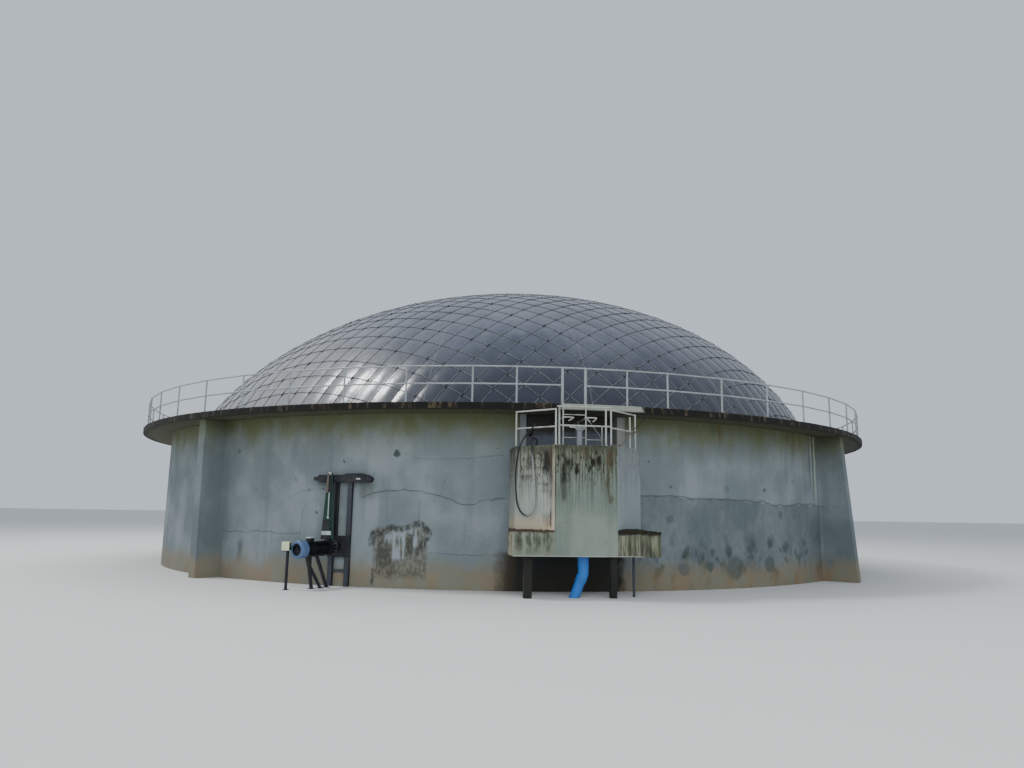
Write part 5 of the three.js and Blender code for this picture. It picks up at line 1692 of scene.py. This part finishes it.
@dataclass
class RopeNet:
    """Square rope net over the dome, a tie at each crossing and an edge rope round its foot."""

    shape: DomeShape
    rope_radius: float = 0.009
    edge_margin: float = 0.23
    ropes: int = 21
    segment: float = 0.105
    seed: int = 4

    def build(self) -> None:
        """Ropes, edge rope and ties."""
        shape = self.shape
        reach = shape.reach() - self.edge_margin
        tree = Growth("rope_net", {"Mesh": shape.mesh, "Reach": reach, "Rope radius": self.rope_radius})
        circle = tree.add("GeometryNodeCurvePrimitiveCircle", {}, {"Resolution": 400, "Radius": reach})
        ropes = [
            self.family(tree, (1.0, 0.0), shape.along),
            self.family(tree, (0.0, 1.0), shape.across),
            self.draped(tree, circle, self.rope_radius * 1.6),
        ]
        net = tree.grow(tree.add("GeometryNodeJoinGeometry", {}, {0: ropes}), ROPE)
        placed("dome_ropes", net, ROPE, "rope_net")
        self.ties(reach - 0.2)

    def family(self, tree: Growth, axis: Pair, offset: float) -> Value:
        """Parallel ropes, as long as the net is there.

        Args:
            tree: the net's tree.
            axis: direction in which they are spaced on the flat net.
            offset: place of one of them, in meshes.

        Returns:
            Their tubes.
        """
        mesh, reach = tree.size("Mesh"), tree.size("Reach")
        first = (offset % 1 - self.ropes) * self.shape.mesh
        spacing = tree.combine(mesh * axis[0], mesh * axis[1], 0.0)
        start = (axis[0] * first, axis[1] * first, 0.0)
        row = {"Count": self.ropes * 2, "Start Location": start, "Offset": spacing}
        line = tree.add("GeometryNodeMeshLine", {}, row)
        east, north, _ = tree.split(tree.here())
        on_axis = east * axis[0] + north * axis[1]
        half = (reach * reach - on_axis * on_axis).math("MAXIMUM", 0.0).math("SQRT")
        ends = {"Start": (-axis[1], -axis[0], 0.0), "End": (axis[1], axis[0], 0.0)}
        rope = tree.add("GeometryNodeCurvePrimitiveLine", {}, ends)
        scale = tree.combine(half * axis[1] + axis[0], half * axis[0] + axis[1], 1.0)
        ropes = tree.copies(line, rope, Selection=half.math("GREATER_THAN", 0.5), Scale=scale)
        real = tree.add("GeometryNodeRealizeInstances", {}, {"Geometry": ropes})
        inputs = {"Curve": real, "Length": self.segment}
        fine = tree.add("GeometryNodeResampleCurve", {"mode": "LENGTH"}, inputs)
        return self.draped(tree, fine, tree.size("Rope radius"))

    def draped(self, tree: Growth, curves: Value, radius: float | Value) -> Value:
        """Tubes along flat curves that are laid on the dome."""
        laid = self.shape.laid(tree, tree.here(), self.rope_radius)
        return tree.tube(tree.set(curves, Position=laid), radius, 5)

    def ties(self, reach: float) -> None:
        """Dark wraps round the crossings, of uneven size.

        Args:
            reach: distance from the top of the last ones.
        """
        shape = self.shape
        tree = Growth("net_ties", {"Reach": reach, "Seed": self.seed})
        offset = ((shape.along % 1 - 0.5) * shape.mesh, (shape.across % 1 - 0.5) * shape.mesh, 0.0)
        grid = tree.grid((self.ropes * 2 - 1) * shape.mesh, self.ropes * 2, offset)
        crossings = tree.within(grid, tree.size("Reach"))
        here = shape.laid(tree, tree.here(), self.rope_radius)
        ahead = shape.laid(tree, tree.vector("ADD", tree.here(), (0.0, 0.05, 0.0)), self.rope_radius)
        kept = tree.add(
            "GeometryNodeStoreNamedAttribute",
            {"data_type": "FLOAT_VECTOR", "domain": "POINT"},
            {"Geometry": crossings, "Name": "rope_direction", "Value": tree.vector("SUBTRACT", ahead, here)},
        )
        stored = tree.stored("rope_direction", "FLOAT_VECTOR")
        rotation = tree.add("FunctionNodeAlignRotationToVector", {"axis": "Z"}, {"Vector": stored})
        limits = {"Min": (0.4, 0.4, 0.4), "Max": (1.35, 1.35, 1.4), "Seed": tree.size("Seed")}
        scale = tree.add("FunctionNodeRandomValue", {"data_type": "FLOAT_VECTOR"}, limits)
        wrap = tree.drum(self.rope_radius * 2.1, 0.09, 8, 0.0)
        row = tree.copies(tree.set(kept, Position=here), wrap, Rotation=rotation, Scale=scale)
        placed("net_ties", tree.grow(row, TIE), TIE)


# Outlet chamber


@dataclass
class Chamber:
    """Half-octagon bay on a raised platform, with its opening into the tank."""

    front: float = 13.4
    front_half: float = 0.69
    half: float = 1.45
    wall: float = 0.15
    skin: float = 0.005
    deck: float = 0.12
    ledges: Pair = (-1.59, 1.67)
    ledge_back: float = -12.6
    back: float = -11.75
    platform: Pair = (0.87, 1.39)
    legs: tuple[Triple, ...] = ((-1.235, -13.2, 0.0875), (0.64, -13.2, 0.075))
    prop: Triple = (1.175, -12.95, 0.025)
    heap: tuple[Pair, ...] = (
        (0.7, 1.37), (1.66, 1.37), (1.66, 1.405), (1.45, 1.425), (1.22, 1.455), (1.0, 1.46), (0.82, 1.45),
        (0.7, 1.435),
    )
    corner_angle: float = 22.5
    jambs: Pair = (-5.2, 5.4)
    jamb_proud: float = 0.06
    panel_joint: Pair = (3.63, 3.68)
    gland_radius: float = 0.036
    deck_gland: Pair = (-0.98, -12.722)
    panel_gland: Pair = (-4.6, 3.62)

    def __post_init__(self) -> None:
        """Lines that the walls and the deck share."""
        self.miter = self.wall * math.tan(math.radians(self.corner_angle))
        self.inner_half = self.front_half - self.miter
        self.inner_line = -self.front + self.wall
        self.wing_end = -(self.front - (self.half - self.front_half))

    def build(self) -> None:
        """All of the chamber."""
        self.base()
        self.walls()
        self.deck_slab()
        self.opening_frame()

    def base(self) -> None:
        """Platform with its legs and prop, and the moss on its ledge."""
        low, high = self.platform
        platform = Form().box((self.ledges[0], -self.front, low), (self.ledges[1], self.ledge_back, high))
        platform.box((-self.half, self.ledge_back - 0.1, low), (self.half, self.back, high))
        platform.cast("platform_cast", CHAMBER, "chamber_platform")
        legs, prop = Form(), Form()
        for form, places in ((legs, self.legs), (prop, (self.prop,))):
            for x, y, half in places:
                form.box((x - half, y - half, 0.0), (x + half, y + half, low + 0.1))
        legs.cast("platform_legs", MOSSY_SHADOWED, voxel=0.02, wave=0.2, wear=0.008)
        prop.piece("platform_prop", STEEL, bevel=0.004)
        heap = Form().slab(self.heap, -self.front - 0.004, -self.front + 0.42)
        heap.cast("ledge_moss", MOSS, voxel=0.014, wave=0.1, wear=0.02)

    def walls(self) -> None:
        """Front wall, whose skin covers the platform's front too, and the two wings with their sides."""
        low, high = self.platform
        line = -self.front - self.skin
        front = [(-self.front_half, line), (self.front_half, line), (self.inner_half, self.inner_line),
                 (-self.inner_half, self.inner_line)]
        Form().prism(front, low, DECK_TOP).cast("front_wall_cast", CHAMBER, "chamber_front_wall")
        inner = self.half - self.wall
        outline = [(self.front_half + SEAT_GAP, -self.front + SEAT_GAP), (self.half, self.wing_end),
                   (self.half, self.back), (inner, self.back), (inner, self.wing_end + self.miter),
                   (self.inner_half, self.inner_line)]
        for name, side in (("left", -1), ("right", 1)):
            form = Form().prism([(side * x, y) for x, y in outline], high - 0.02, DECK_TOP)
            form.cast(f"{name}_wing_cast", CHAMBER, f"chamber_{name}_wall")

    def deck_slab(self) -> None:
        """Deck between the walls, and the gland that the hose goes into."""
        inner, corner = self.half - self.wall - 0.001, self.wing_end + self.miter
        outline = [(-self.inner_half, self.inner_line), (self.inner_half, self.inner_line), (inner, corner),
                   (inner, self.back), (-inner, self.back), (-inner, corner)]
        form = Form().prism(outline, DECK_TOP - self.deck, DECK_TOP - 0.002)
        form.cast("deck_cast", PLAIN, "chamber_deck")
        gland = Form(Matrix.Translation((*self.deck_gland, DECK_TOP)))
        gland.turned([(-0.02, 0.05), (0.008, 0.05), (0.01, self.gland_radius), (0.05, self.gland_radius),
                      (0.06, self.gland_radius * 0.6)], 20)
        gland.piece("deck_gland", BLACK)

    def opening_frame(self) -> None:
        """Pale jambs that stand proud of the wall, and the panel between them, dark at its top with painted
        shadow.
        """

        def sheet(inner: float, outer: float, low: float, high: float) -> list[Pair]:
            """Section between two radii and two heights."""
            return [(inner, low), (outer, low), (outer, high), (inner, high)]

        section = sheet(WALL_RADIUS - WALL_THICKNESS, WALL_RADIUS + self.jamb_proud, DECK_TOP, WALL_TOP)
        spans = {"left": (OPENING[0], self.jambs[0]), "right": (self.jambs[1], OPENING[1])}
        for name, (start, end) in spans.items():
            jamb = Form().swept(section, spread(start, end, 0.4))
            jamb.piece(f"{name}_jamb_cast", JAMB, f"opening_{name}_jamb", bevel=0.012)
        bearings = spread(*self.jambs, 0.6)
        form = Form().swept(sheet(PANEL_RADIUS - 0.03, PANEL_RADIUS, DECK_TOP, WALL_TOP), bearings)
        for low, high in ((DECK_TOP, DECK_TOP + 0.05), self.panel_joint, (WALL_TOP - 0.05, WALL_TOP)):
            form.swept(sheet(PANEL_RADIUS - 0.01, PANEL_RADIUS + 0.02, low, high), bearings)
        form.piece("panel_sheet", PANEL, "opening_panel", bevel=0.004)
        ends = [bearing_point(PANEL_RADIUS + shift, *self.panel_gland) for shift in (-0.02, 0.06)]
        Form().tube(ends, self.gland_radius, 20).piece("panel_gland", BLACK, bevel=0.004)


@dataclass(frozen=True)
class RailPanel:
    """One panel of the chamber's guardrail; a post is its x, y, radius and height."""

    name: str
    posts: tuple[tuple[float, float, float, float], ...]
    height: float
    mid_height: float
    bare_bay: int | None = None


@dataclass
class ChamberFittings:
    """Guardrail, ladder, conduit, standpipe and outlet pipe of the chamber."""

    rail_radius: float = 0.017
    foot_radius: float = 0.04
    ladder_line: float = -12.79
    stiles: Pair = (-0.392, 0.134)
    first_rung: float = 3.47
    rung_step: float = 0.26
    arm_height: float = 3.92
    side_post: Pair = (0.508, 3.74)
    side_bar: float = 3.43
    pipe_place: Triple = (-0.068, -13.02, DECK_TOP)
    outlet_bend: Triple = (0.01, -13.05, 0.5)
    outlet_foot: Triple = (-0.2, -13.09, 0.0)
    outlet_radius: float = 0.108
    socket_radius: float = 0.122
    panels: tuple[RailPanel, ...] = (
        RailPanel("left", ((-1.436, -12.621, 0.021, 0.8), (-0.672, -13.355, 0.021, 0.8)), 0.78, 0.4),
        RailPanel("front", ((-0.648, -13.355, 0.0, 0.0), (-0.598, -13.355, 0.021, 0.865),
                            (0.448, -13.355, 0.021, 0.865), (0.563, -13.355, 0.0, 0.0)), 0.847, 0.43, 0),
        RailPanel("right", ((0.565, -13.355, 0.021, 0.815), (1.165, -12.787, 0.021, 0.725),
                            (1.341, -12.621, 0.021, 0.815)), 0.795, 0.4),
    )
    conduit: tuple[Triple, ...] = (
        (0.56, -13.4, 3.27), (0.7, -13.3, 3.27), (0.866, -13.134, 3.31), (1.0, -13.0, 3.43),
        (1.127, -12.873, 3.579), (1.19, -12.81, 3.62), (1.261, -12.739, 3.639), (1.34, -12.66, 3.66),
    )
    brace: tuple[Triple, ...] = ((1.317, -12.662, 3.725), (1.614, -12.627, 3.997), (1.71, -12.61, 4.09))
    bows: tuple[tuple[Pair, ...], ...] = (
        ((-0.415, 3.93), (-0.25, 3.935), (-0.144, 3.93)),
        ((-0.144, 3.93), (-0.2, 3.89), (-0.265, 3.85)),
        ((0.104, 3.93), (0.28, 3.935), (0.39, 3.93)),
        ((0.39, 3.93), (0.34, 3.88), (0.292, 3.84)),
        ((0.17, 3.9), (0.2, 3.865), (0.23, 3.835)),
    )

    def build(self) -> None:
        """All fittings."""
        for panel in self.panels:
            posts = [Post(Vector((x, y, DECK_TOP)), radius, height) for x, y, radius, height in panel.posts]
            name, nodes = f"chamber_rail_{panel.name}", (f"chamber_guardrail_{panel.name}",)
            rail = Guardrail(name, nodes, panel.height, panel.mid_height, self.rail_radius, self.foot_radius)
            rail.build(posts, panel.bare_bay, False, OLD_RAIL)
        self.ladder()
        Form().tube(self.conduit, 0.019).piece("wing_conduit", RUSTY)
        Form().tube(self.brace, 0.009, 8).piece("wing_brace", BLACK_STEEL)
        self.standpipe()
        self.outlet()

    def ladder(self) -> None:
        """Stiles, rungs, arms back to the panel, the frame beside them and white bows."""
        left, right = self.stiles
        line = self.ladder_line
        form = Form()
        for x in self.stiles:
            form.tube([(x, line, DECK_TOP), (x, line, WALKWAY_TOP)], 0.017)
            wall = -math.sqrt(PANEL_RADIUS**2 - x * x) - 0.004
            form.tube([(x, line, self.arm_height), (x, wall, self.arm_height)], 0.015)
            form.tube([(x, wall - 0.48, self.arm_height), (x, wall, self.arm_height - 0.3)], 0.012)
        side, side_top = self.side_post
        form.tube([(side, line, DECK_TOP), (side, line, side_top)], 0.016)
        form.tube([(right, line, self.side_bar), (side, line, self.side_bar)], 0.011)
        form.tube([(right, line, 3.96), (side, line, self.side_bar + 0.03)], 0.007, 8)
        form.piece("ladder_frame", OLD_RAIL, "chamber_ladder")
        bows = Form()
        for bow in self.bows:
            bows.tube([(x, line, z) for x, z in bow], 0.014, 10)
        bows.piece("ladder_bows", WHITE)
        rung = Form().tube([(left, line, self.first_rung), (right, line, self.first_rung)], 0.012, 10)
        rung.repeated("ladder_rungs", 3, OLD_RAIL, (0.0, 0.0, self.rung_step))

    def standpipe(self) -> None:
        """Standpipe on the deck, with a belled head and a branch at each side."""
        x, y, foot = self.pipe_place
        form = Form(Matrix.Translation(self.pipe_place))
        form.turned([(0.0, 0.08), (0.012, 0.08), (0.016, 0.062), (0.345, 0.062), (0.352, 0.077), (0.36, 0.08),
                     (0.436, 0.08), (0.44, 0.076), (0.438, 0.066), (0.2, 0.056)])
        form.tube([(0.0, 0.0, 0.33), (0.06, 0.0, 0.38), (0.135, 0.0, 0.43)], 0.03, 16)
        form.piece("standpipe", STANDPIPE, "chamber_standpipe")
        bent = [(x, y, foot + 0.33), (x - 0.106, y, foot + 0.43), (x - 0.226, y, foot + 0.435)]
        Form().tube(bent, 0.013).piece("standpipe_branch", WHITE)

    def outlet(self) -> None:
        """Outlet that comes down from the platform and slants to the ground, where it is cut level."""
        outlet = Form()
        bend, foot = Vector(self.outlet_bend), Vector(self.outlet_foot)
        slope = (foot - bend).normalized()
        socket = self.socket_radius
        outlet.tube([(bend.x, bend.y, 0.87), (bend.x, bend.y, 0.62)], socket, 28)
        elbow = [(bend.x, bend.y, 0.7), (bend.x, bend.y, 0.58), bend, bend + slope * 0.08, bend + slope * 0.2]
        outlet.tube(elbow, socket - 0.006, 28)
        outlet.tube([bend + slope * 0.06, bend + slope * 0.18], socket, 28)
        outlet.tube([bend + slope * 0.1, foot - slope * 0.06, foot + slope * 0.05], self.outlet_radius, 28)
        outlet.grounded().piece("outlet_pipe", BLUE_PIPE, "chamber_outlet_pipe")


# Mixer


def beside(along: float, radius: float, steps: Sequence[Pair]) -> list[Pair]:
    """Profile points that lie steps of (height, radius) away from one place."""
    return [(along + step, radius + out) for step, out in steps]


@dataclass
class Mixer:
    """Side-entry mixer: frame on the wall, gearbox, motor, fan cowl, legs and tapered stay."""

    bearing: float = -26.6
    shift: float = -0.02
    channels: Pair = (-0.2425, 0.2025)
    channel_width: float = 0.12
    channel_depth: float = 0.07
    channel_top: float = 2.521
    beam_depth: float = 0.13
    beam: tuple[Pair, ...] = (
        (-0.775, 2.475), (-0.66, 2.475), (-0.63, 2.432), (0.715, 2.432), (0.785, 2.48), (0.785, 2.545),
        (0.69, 2.6), (0.5, 2.648), (0.14, 2.645), (0.0, 2.612), (-0.64, 2.61), (-0.66, 2.568),
        (-0.775, 2.565),
    )
    plate: Triple = (-0.34, 0.262, 0.09)
    plate_heights: Pair = (0.68, 1.17)
    crossbar_heights: Pair = (0.33, 0.39)
    strip_depth: float = 0.04
    axis_height: float = 0.93
    axis_turn: float = -13.0
    axis_tilt: float = 2.0
    neck_radius: float = 0.085
    gearbox_start: float = 0.3
    gearbox_radius: float = 0.188
    gearbox_end: float = 0.48
    motor_radius: float = 0.15
    motor_end: float = 1.15
    cowl_radius: float = 0.205
    cowl_end: float = 1.39
    box_middle: float = 0.98
    box_half: Pair = (0.066, 0.078)
    box_heights: Pair = (0.115, 0.265)
    saddle: Pair = (0.56, 1.1)
    saddle_drop: float = 0.162
    leg_width: float = 0.062
    leg_lines: tuple[tuple[Pair, Pair, Pair], ...] = (
        ((1.06, 0.73), (0.974, 0.478), (0.87, 0.0)),
        ((0.96, 0.73), (0.96, 0.5), (0.6, 0.0)),
        ((0.76, 0.73), (0.631, 0.478), (0.4, 0.0)),
    )
    stay_distance: float = 0.455
    stay_widths: Pair = (0.345, 0.118)
    stay_head: Pair = (-0.3, 2.66)
    stay_thickness: float = 0.05

    def __post_init__(self) -> None:
        """Frames of the mixer and of its own axis."""
        self.frame = Matrix.Rotation(math.radians(self.bearing), 4, "Z")
        turn, tilt = math.radians(self.axis_turn), math.radians(self.axis_tilt)
        across = Vector((math.cos(turn), math.sin(turn), 0.0))
        outward = Vector((math.sin(turn), -math.cos(turn), -math.tan(tilt))).normalized()
        self.local_axis = Matrix((across, outward.cross(across), outward)).transposed().to_4x4()
        self.local_axis.translation = (self.shift, -WALL_RADIUS, self.axis_height)
        self.axis = self.frame @ self.local_axis

    def on_axis(self, distance: float, side: float = 0.0, up: float = 0.0) -> Vector:
        """Place beside the axis, in the mixer's own frame."""
        return self.local_axis @ Vector((side, up, distance))

    def build(self) -> None:
        """All of the mixer."""
        self.frame_steel()
        self.gearbox()
        self.motor()
        self.cowl()
        self.legs()
        self.stay()

    def frame_steel(self) -> None:
        """Two channels with black sheets on their right flanks as painted shade, a ragged beam, a plate, a
        strip and a crossbar.
        """
        form, dark = Form(self.frame), Form(self.frame)
        back, front = -WALL_RADIUS + 0.03, -WALL_RADIUS - self.channel_depth
        strip, half = -WALL_RADIUS - self.strip_depth, self.channel_width / 2
        for middle in self.channels:
            left, right = middle - half, middle + half
            form.box((left, front, 0.0), (right, front + 0.012, self.channel_top))
            form.box((left, front, 0.0), (left + 0.012, back, self.channel_top))
            # Black sheet over each channel's open right side: painted shade
            dark.box((right - 0.014, front - 0.001, 0.0), (right + 0.001, back, self.channel_top))
        left, right = self.channels
        low, high = self.crossbar_heights
        form.box((left, strip, low), (right, back, high))
        form.piece("mixer_channels", STEEL, "mixer_frame", bevel=0.004)
        face = -WALL_RADIUS - self.beam_depth
        dark.slab(self.beam, face, back)
        start, end, depth = self.plate
        low, high = self.plate_heights
        dark.box((start, -WALL_RADIUS - depth, low), (end, back, high))
        dark.box((left, strip, low), (-0.107, back, self.channel_top))
        dark.piece("mixer_beam_plate_and_shade_sheets", BLACK_STEEL, bevel=0.006)
        pale = Form(self.frame).box((0.39, face - 0.005, 2.5), (0.54, face + 0.01, 2.535))
        pale.box((-0.345, face - 0.056, 2.61), (-0.262, face + 0.01, 2.672))
        pale.piece("beam_plates", WHITE, bevel=0.003)
        nut = Form(self.frame).tube([(-0.7, face - 0.014, 2.52), (-0.7, face + 0.01, 2.52)], 0.022, 6)
        nut.repeated("beam_bolts", 9, STEEL, (0.175, 0.0, 0.0))
        line, step = -WALL_RADIUS - depth, (end - start - 0.12) / 4
        for name, height in (("low", low + 0.06), ("high", high - 0.06)):
            ends = [(start + 0.06, line - 0.016, height), (start + 0.06, line + 0.01, height)]
            Form(self.frame).tube(ends, 0.018, 6).repeated(f"plate_bolts_{name}", 5, STEEL, (step, 0.0, 0.0))

    def gearbox(self) -> None:
        """Shaft housing, flanges, a pale rim and pale bolts that stand partly for highlights, and a ribbed
        body.
        """
        start, end, radius = self.gearbox_start, self.gearbox_end, self.gearbox_radius
        neck = self.neck_radius
        flange = [(0.0, 0.0), (0.03, 0.0), (0.034, -0.03), (0.12, -0.035)]
        profile = [(0.06, 0.0), (0.06, neck), (start - 0.05, neck - 0.004), (start - 0.03, 0.12),
                   (start - 0.002, 0.15), *beside(start, radius, flange),
                   *beside(end, radius, [(-0.06, -0.045), (-0.04, -0.01), (-0.006, -0.012)]),
                   (end - 0.004, 0.1), (end - 0.002, 0.0)]
        Form(self.axis).turned(profile, 40).piece("gearbox_body", BLACK, "mixer_gearbox")
        # Pale rim and light-grey bolts on the flange: real parts, partly painted highlights
        rim = beside(start, radius, [(-0.004, -0.012), (0.012, -0.012), (0.012, 0.002), (-0.004, 0.002)])
        Form(self.axis).turned(rim, 40, hole=True).piece("gearbox_rim", RUSTY)
        bolt = [(radius - 0.026, 0.0, start + 0.01), (radius - 0.026, 0.0, start + 0.046)]
        Form(self.axis).tube(bolt, 0.011, 6).repeated("gearbox_bolts", 12, OLD_RAIL)
        rib = Form(self.axis).box((radius - 0.06, -0.006, start + 0.02), (radius - 0.012, 0.006, end - 0.05))
        rib.repeated("gearbox_ribs", 16, BLACK)

    def motor(self) -> None:
        """Finned body with end shields and a terminal box with a pale lid edge."""
        start, end, radius = self.gearbox_end, self.motor_end, self.motor_radius
        profile = [(start + 0.001, 0.0), *beside(start, radius, [(0.001, 0.0), (0.03, 0.0), (0.035, -0.02)]),
                   *beside(end, radius, [(-0.035, -0.02), (-0.03, 0.0), (0.0, 0.0)]), (end, 0.0)]
        Form(self.axis).turned(profile, 36).piece("motor_body", BLACK, "mixer_motor")
        fin = Form(self.axis)
        fin.box((radius - 0.03, -0.0025, start + 0.03), (radius + 0.004, 0.0025, end - 0.03))
        fin.repeated("motor_fins", 40, BLACK)
        box = Form(self.axis)
        (across, along), (low, high), middle = self.box_half, self.box_heights, self.box_middle
        left, near, lid_foot = -across + 0.006, middle - along, high - 0.03
        box.box((left, low, near + 0.006), (-left, lid_foot, middle + along - 0.006))
        box.box((-across, high - 0.05, near), (across, lid_foot, middle + along))
        box.tube([(across - 0.01, low + 0.05, middle), (across + 0.035, low + 0.05, middle)], 0.018)
        box.piece("terminal_box", BLACK, bevel=0.006)
        lid = Form(self.axis).box((-across, lid_foot + 0.001, near), (across, high, middle + along))
        lid.piece("terminal_lid", BRIGHT, bevel=0.003)

    def cowl(self) -> None:
        """Blue fan cowl with a wide rim round a grille of rings and bars over a dark inside."""
        start, end, radius = self.motor_end + SEAT_GAP, self.cowl_end, self.cowl_radius
        rim = [(-0.05, 0.0), (-0.022, -0.009), (-0.006, -0.03), (0.0, -0.056), (-0.006, -0.07),
               (-0.03, -0.07), (-0.034, -0.02)]
        shell = beside(start, radius, [(0.0, -0.03), (0.03, -0.004), (0.05, 0.0)]) + beside(end, radius, rim)
        shell += beside(start, radius, [(0.05, -0.008), (0.01, -0.036)])
        Form(self.axis).turned(shell, 48, hole=True).piece("fan_cowl", BLUE, "mixer_fan_cowl")
        near, far, half = start + 0.01, end - 0.05, radius - 0.04
        inside = Form(self.axis).turned([(near, 0.0), (near, half), (far, half), (far, 0.0)])
        inside.turned(beside(end, 0.0, [(-0.055, 0.0), (-0.055, 0.04), (-0.012, 0.035), (-0.008, 0.0)]), 24)
        inside.piece("fan_inside", BLACK)
        for index, ring in enumerate((0.05, 0.075, 0.1, 0.125)):
            wire = [(-0.018, -0.003), (-0.018, 0.003), (-0.011, 0.003), (-0.011, -0.003)]
            section = beside(end, ring, wire)
            Form(self.axis).turned(section, hole=True).piece(f"grille_ring_{index + 1}", BLACK)
        spoke = Form(self.axis).box((0.03, -0.003, end - 0.022), (radius - 0.065, 0.003, end - 0.014))
        spoke.repeated("grille_spokes", 12, BLACK)

    def legs(self) -> None:
        """Saddle under the motor and three bent legs on foot plates."""
        form = Form(self.frame)
        form.bar(*[self.on_axis(end, 0.0, -self.saddle_drop) for end in self.saddle], 0.1, 0.04)
        for line in self.leg_lines:
            places = [self.on_axis(distance) for distance, _ in line]
            points = [Vector((place.x, place.y, height)) for place, (_, height) in zip(places, line)]
            for above, below in zip(points, points[1:]):
                form.bar(above, below + (below - above).normalized() * 0.012, self.leg_width, self.leg_width)
            foot = points[-1]
            form.box((foot.x - 0.07, foot.y - 0.07, 0.0), (foot.x + 0.07, foot.y + 0.07, 0.012))
        form.grounded().piece("motor_legs", BLACK_STEEL, "mixer_legs", bevel=0.004)

    def stay(self) -> None:
        """Tapered stay: two side bars, a lattice and a bare plate low down, a pale rod in its middle."""
        foot = self.on_axis(self.stay_distance)
        x, z = self.stay_head
        head = Vector((x, -WALL_RADIUS - self.beam_depth - SEAT_GAP - self.stay_thickness / 2, z))
        rise = head - foot
        wide, narrow = self.stay_widths
        first = (self.gearbox_radius - 0.01) / rise.z

        def at(share: float, side: float = 0.0, proud: float = 0.0) -> Vector:
            """Place on the stay, at a share of its height, and a share of its half width to a side."""
            half = (wide + (narrow - wide) * share) / 2
            return foot + rise * share + Vector((side * half, -proud, 0.0))

        form = Form(self.frame)
        for side in (-1, 1):
            form.bar(at(first, side * 0.86), at(1.0, side * 0.7), 0.05, self.stay_thickness, 0.034)
        for low, high in ((0.21, 0.28), (0.28, 0.35)):
            for side in (-0.85, 0.85):
                form.bar(at(low, side), at(high, -side), 0.02, 0.03)
        for share in (0.36, 0.71):
            form.bar(at(share, -0.9), at(share, 0.9), 0.03, 0.04)
        form.bar(at(0.36), at(0.72), 0.2, 0.006, 0.11)
        form.piece("stay_frame", GREEN, "mixer_stay", bevel=0.004)
        plates = Form(self.frame)
        plates.bar(at(first), at(0.2), 0.3, 0.03, 0.28)
        plates.bar(at(0.2), at(0.355), 0.26, 0.008, 0.23)
        plates.piece("stay_plates", BLACK_STEEL, bevel=0.003)
        upper = Form(self.frame).bar(at(0.715), at(0.99), 0.16, 0.03, 0.1)
        upper.piece("stay_upper_plate", BLACK_STEEL, bevel=0.003)
        rod = Form(self.frame).tube([at(0.38, 0.0, 0.012), at(0.73, 0.0, 0.012)], 0.014)
        rod.tube([at(0.375, 0.0, 0.012), at(0.398, 0.0, 0.012)], 0.028, 14)
        rod.bar(at(0.158, 0.1, 0.03), at(0.212, 0.1, 0.03), 0.27, 0.008)
        rod.piece("stay_rod", BRIGHT, bevel=0.003)
        strip = Form(self.frame).bar(at(0.72, -0.5, 0.045), at(0.985, -0.45, 0.045), 0.055, 0.03, 0.04)
        strip.piece("stay_strip", RUSTY, bevel=0.003)


@dataclass
class ControlBox:
    """Small enclosure on its own post."""

    bearing: float = -29.1
    radius: float = 13.2
    width: float = 0.205
    depth: float = 0.075
    height: float = 0.194
    low: float = 0.863
    post_half: float = 0.025
    post_top: float = 1.027

    def build(self) -> None:
        """Post, box, lid and glands."""
        matrix = Matrix.Rotation(math.radians(self.bearing), 4, "Z")
        half, line = self.post_half, -self.radius
        post = Form(matrix).box((-half, line - half, 0.0), (half, line + half, self.post_top))
        post.box((-0.06, line - 0.06, 0.0), (0.06, line + 0.06, 0.01))
        post.piece("control_post_steel", BLACK_STEEL, "control_post", bevel=0.004)
        back = line - half - SEAT_GAP
        side, front, low, high = self.width / 2, back - self.depth, self.low, self.low + self.height
        box = Form(matrix).box((-side, front + 0.024, low), (side, back, high))
        box.box((-side + 0.004, front + 0.02, low + 0.004), (side - 0.004, back - 0.03, high - 0.004))
        box.box((-side, front, low), (side, front + 0.021, high))
        box.piece("control_box_shell", CREAM, "control_box", bevel=0.006)
        gland = Form(matrix)
        for x in (-0.05, 0.05):
            gland.tube([(x, back - 0.04, low - 0.03), (x, back - 0.04, low + 0.005)], 0.014)
        gland.piece("control_glands", BLACK, bevel=0.002)
        edge = Form(matrix)
        edge.box((side - 0.002, front + 0.004, low + 0.01), (side + 0.003, back - 0.004, high - 0.01))
        edge.piece("control_box_edge", GREEN, bevel=0.001)


def main(parts: Iterable[Any]) -> None:
    """Builds every part in order.

    Args:
        parts: the sub-assemblies.
    """
    for part in parts:
        LOG.info("building %s", type(part).__name__)
        part.build()


if __name__ == "__main__":
    logging.basicConfig(level=logging.INFO, format="%(relativeCreated)6d ms  %(message)s")
    dome = DomeShape()
    main([Studio(), Hose(), Tank(), WalkwayRail(), GasDome(dome), RopeNet(dome), Chamber(), ChamberFittings(),
          Mixer(), ControlBox()])
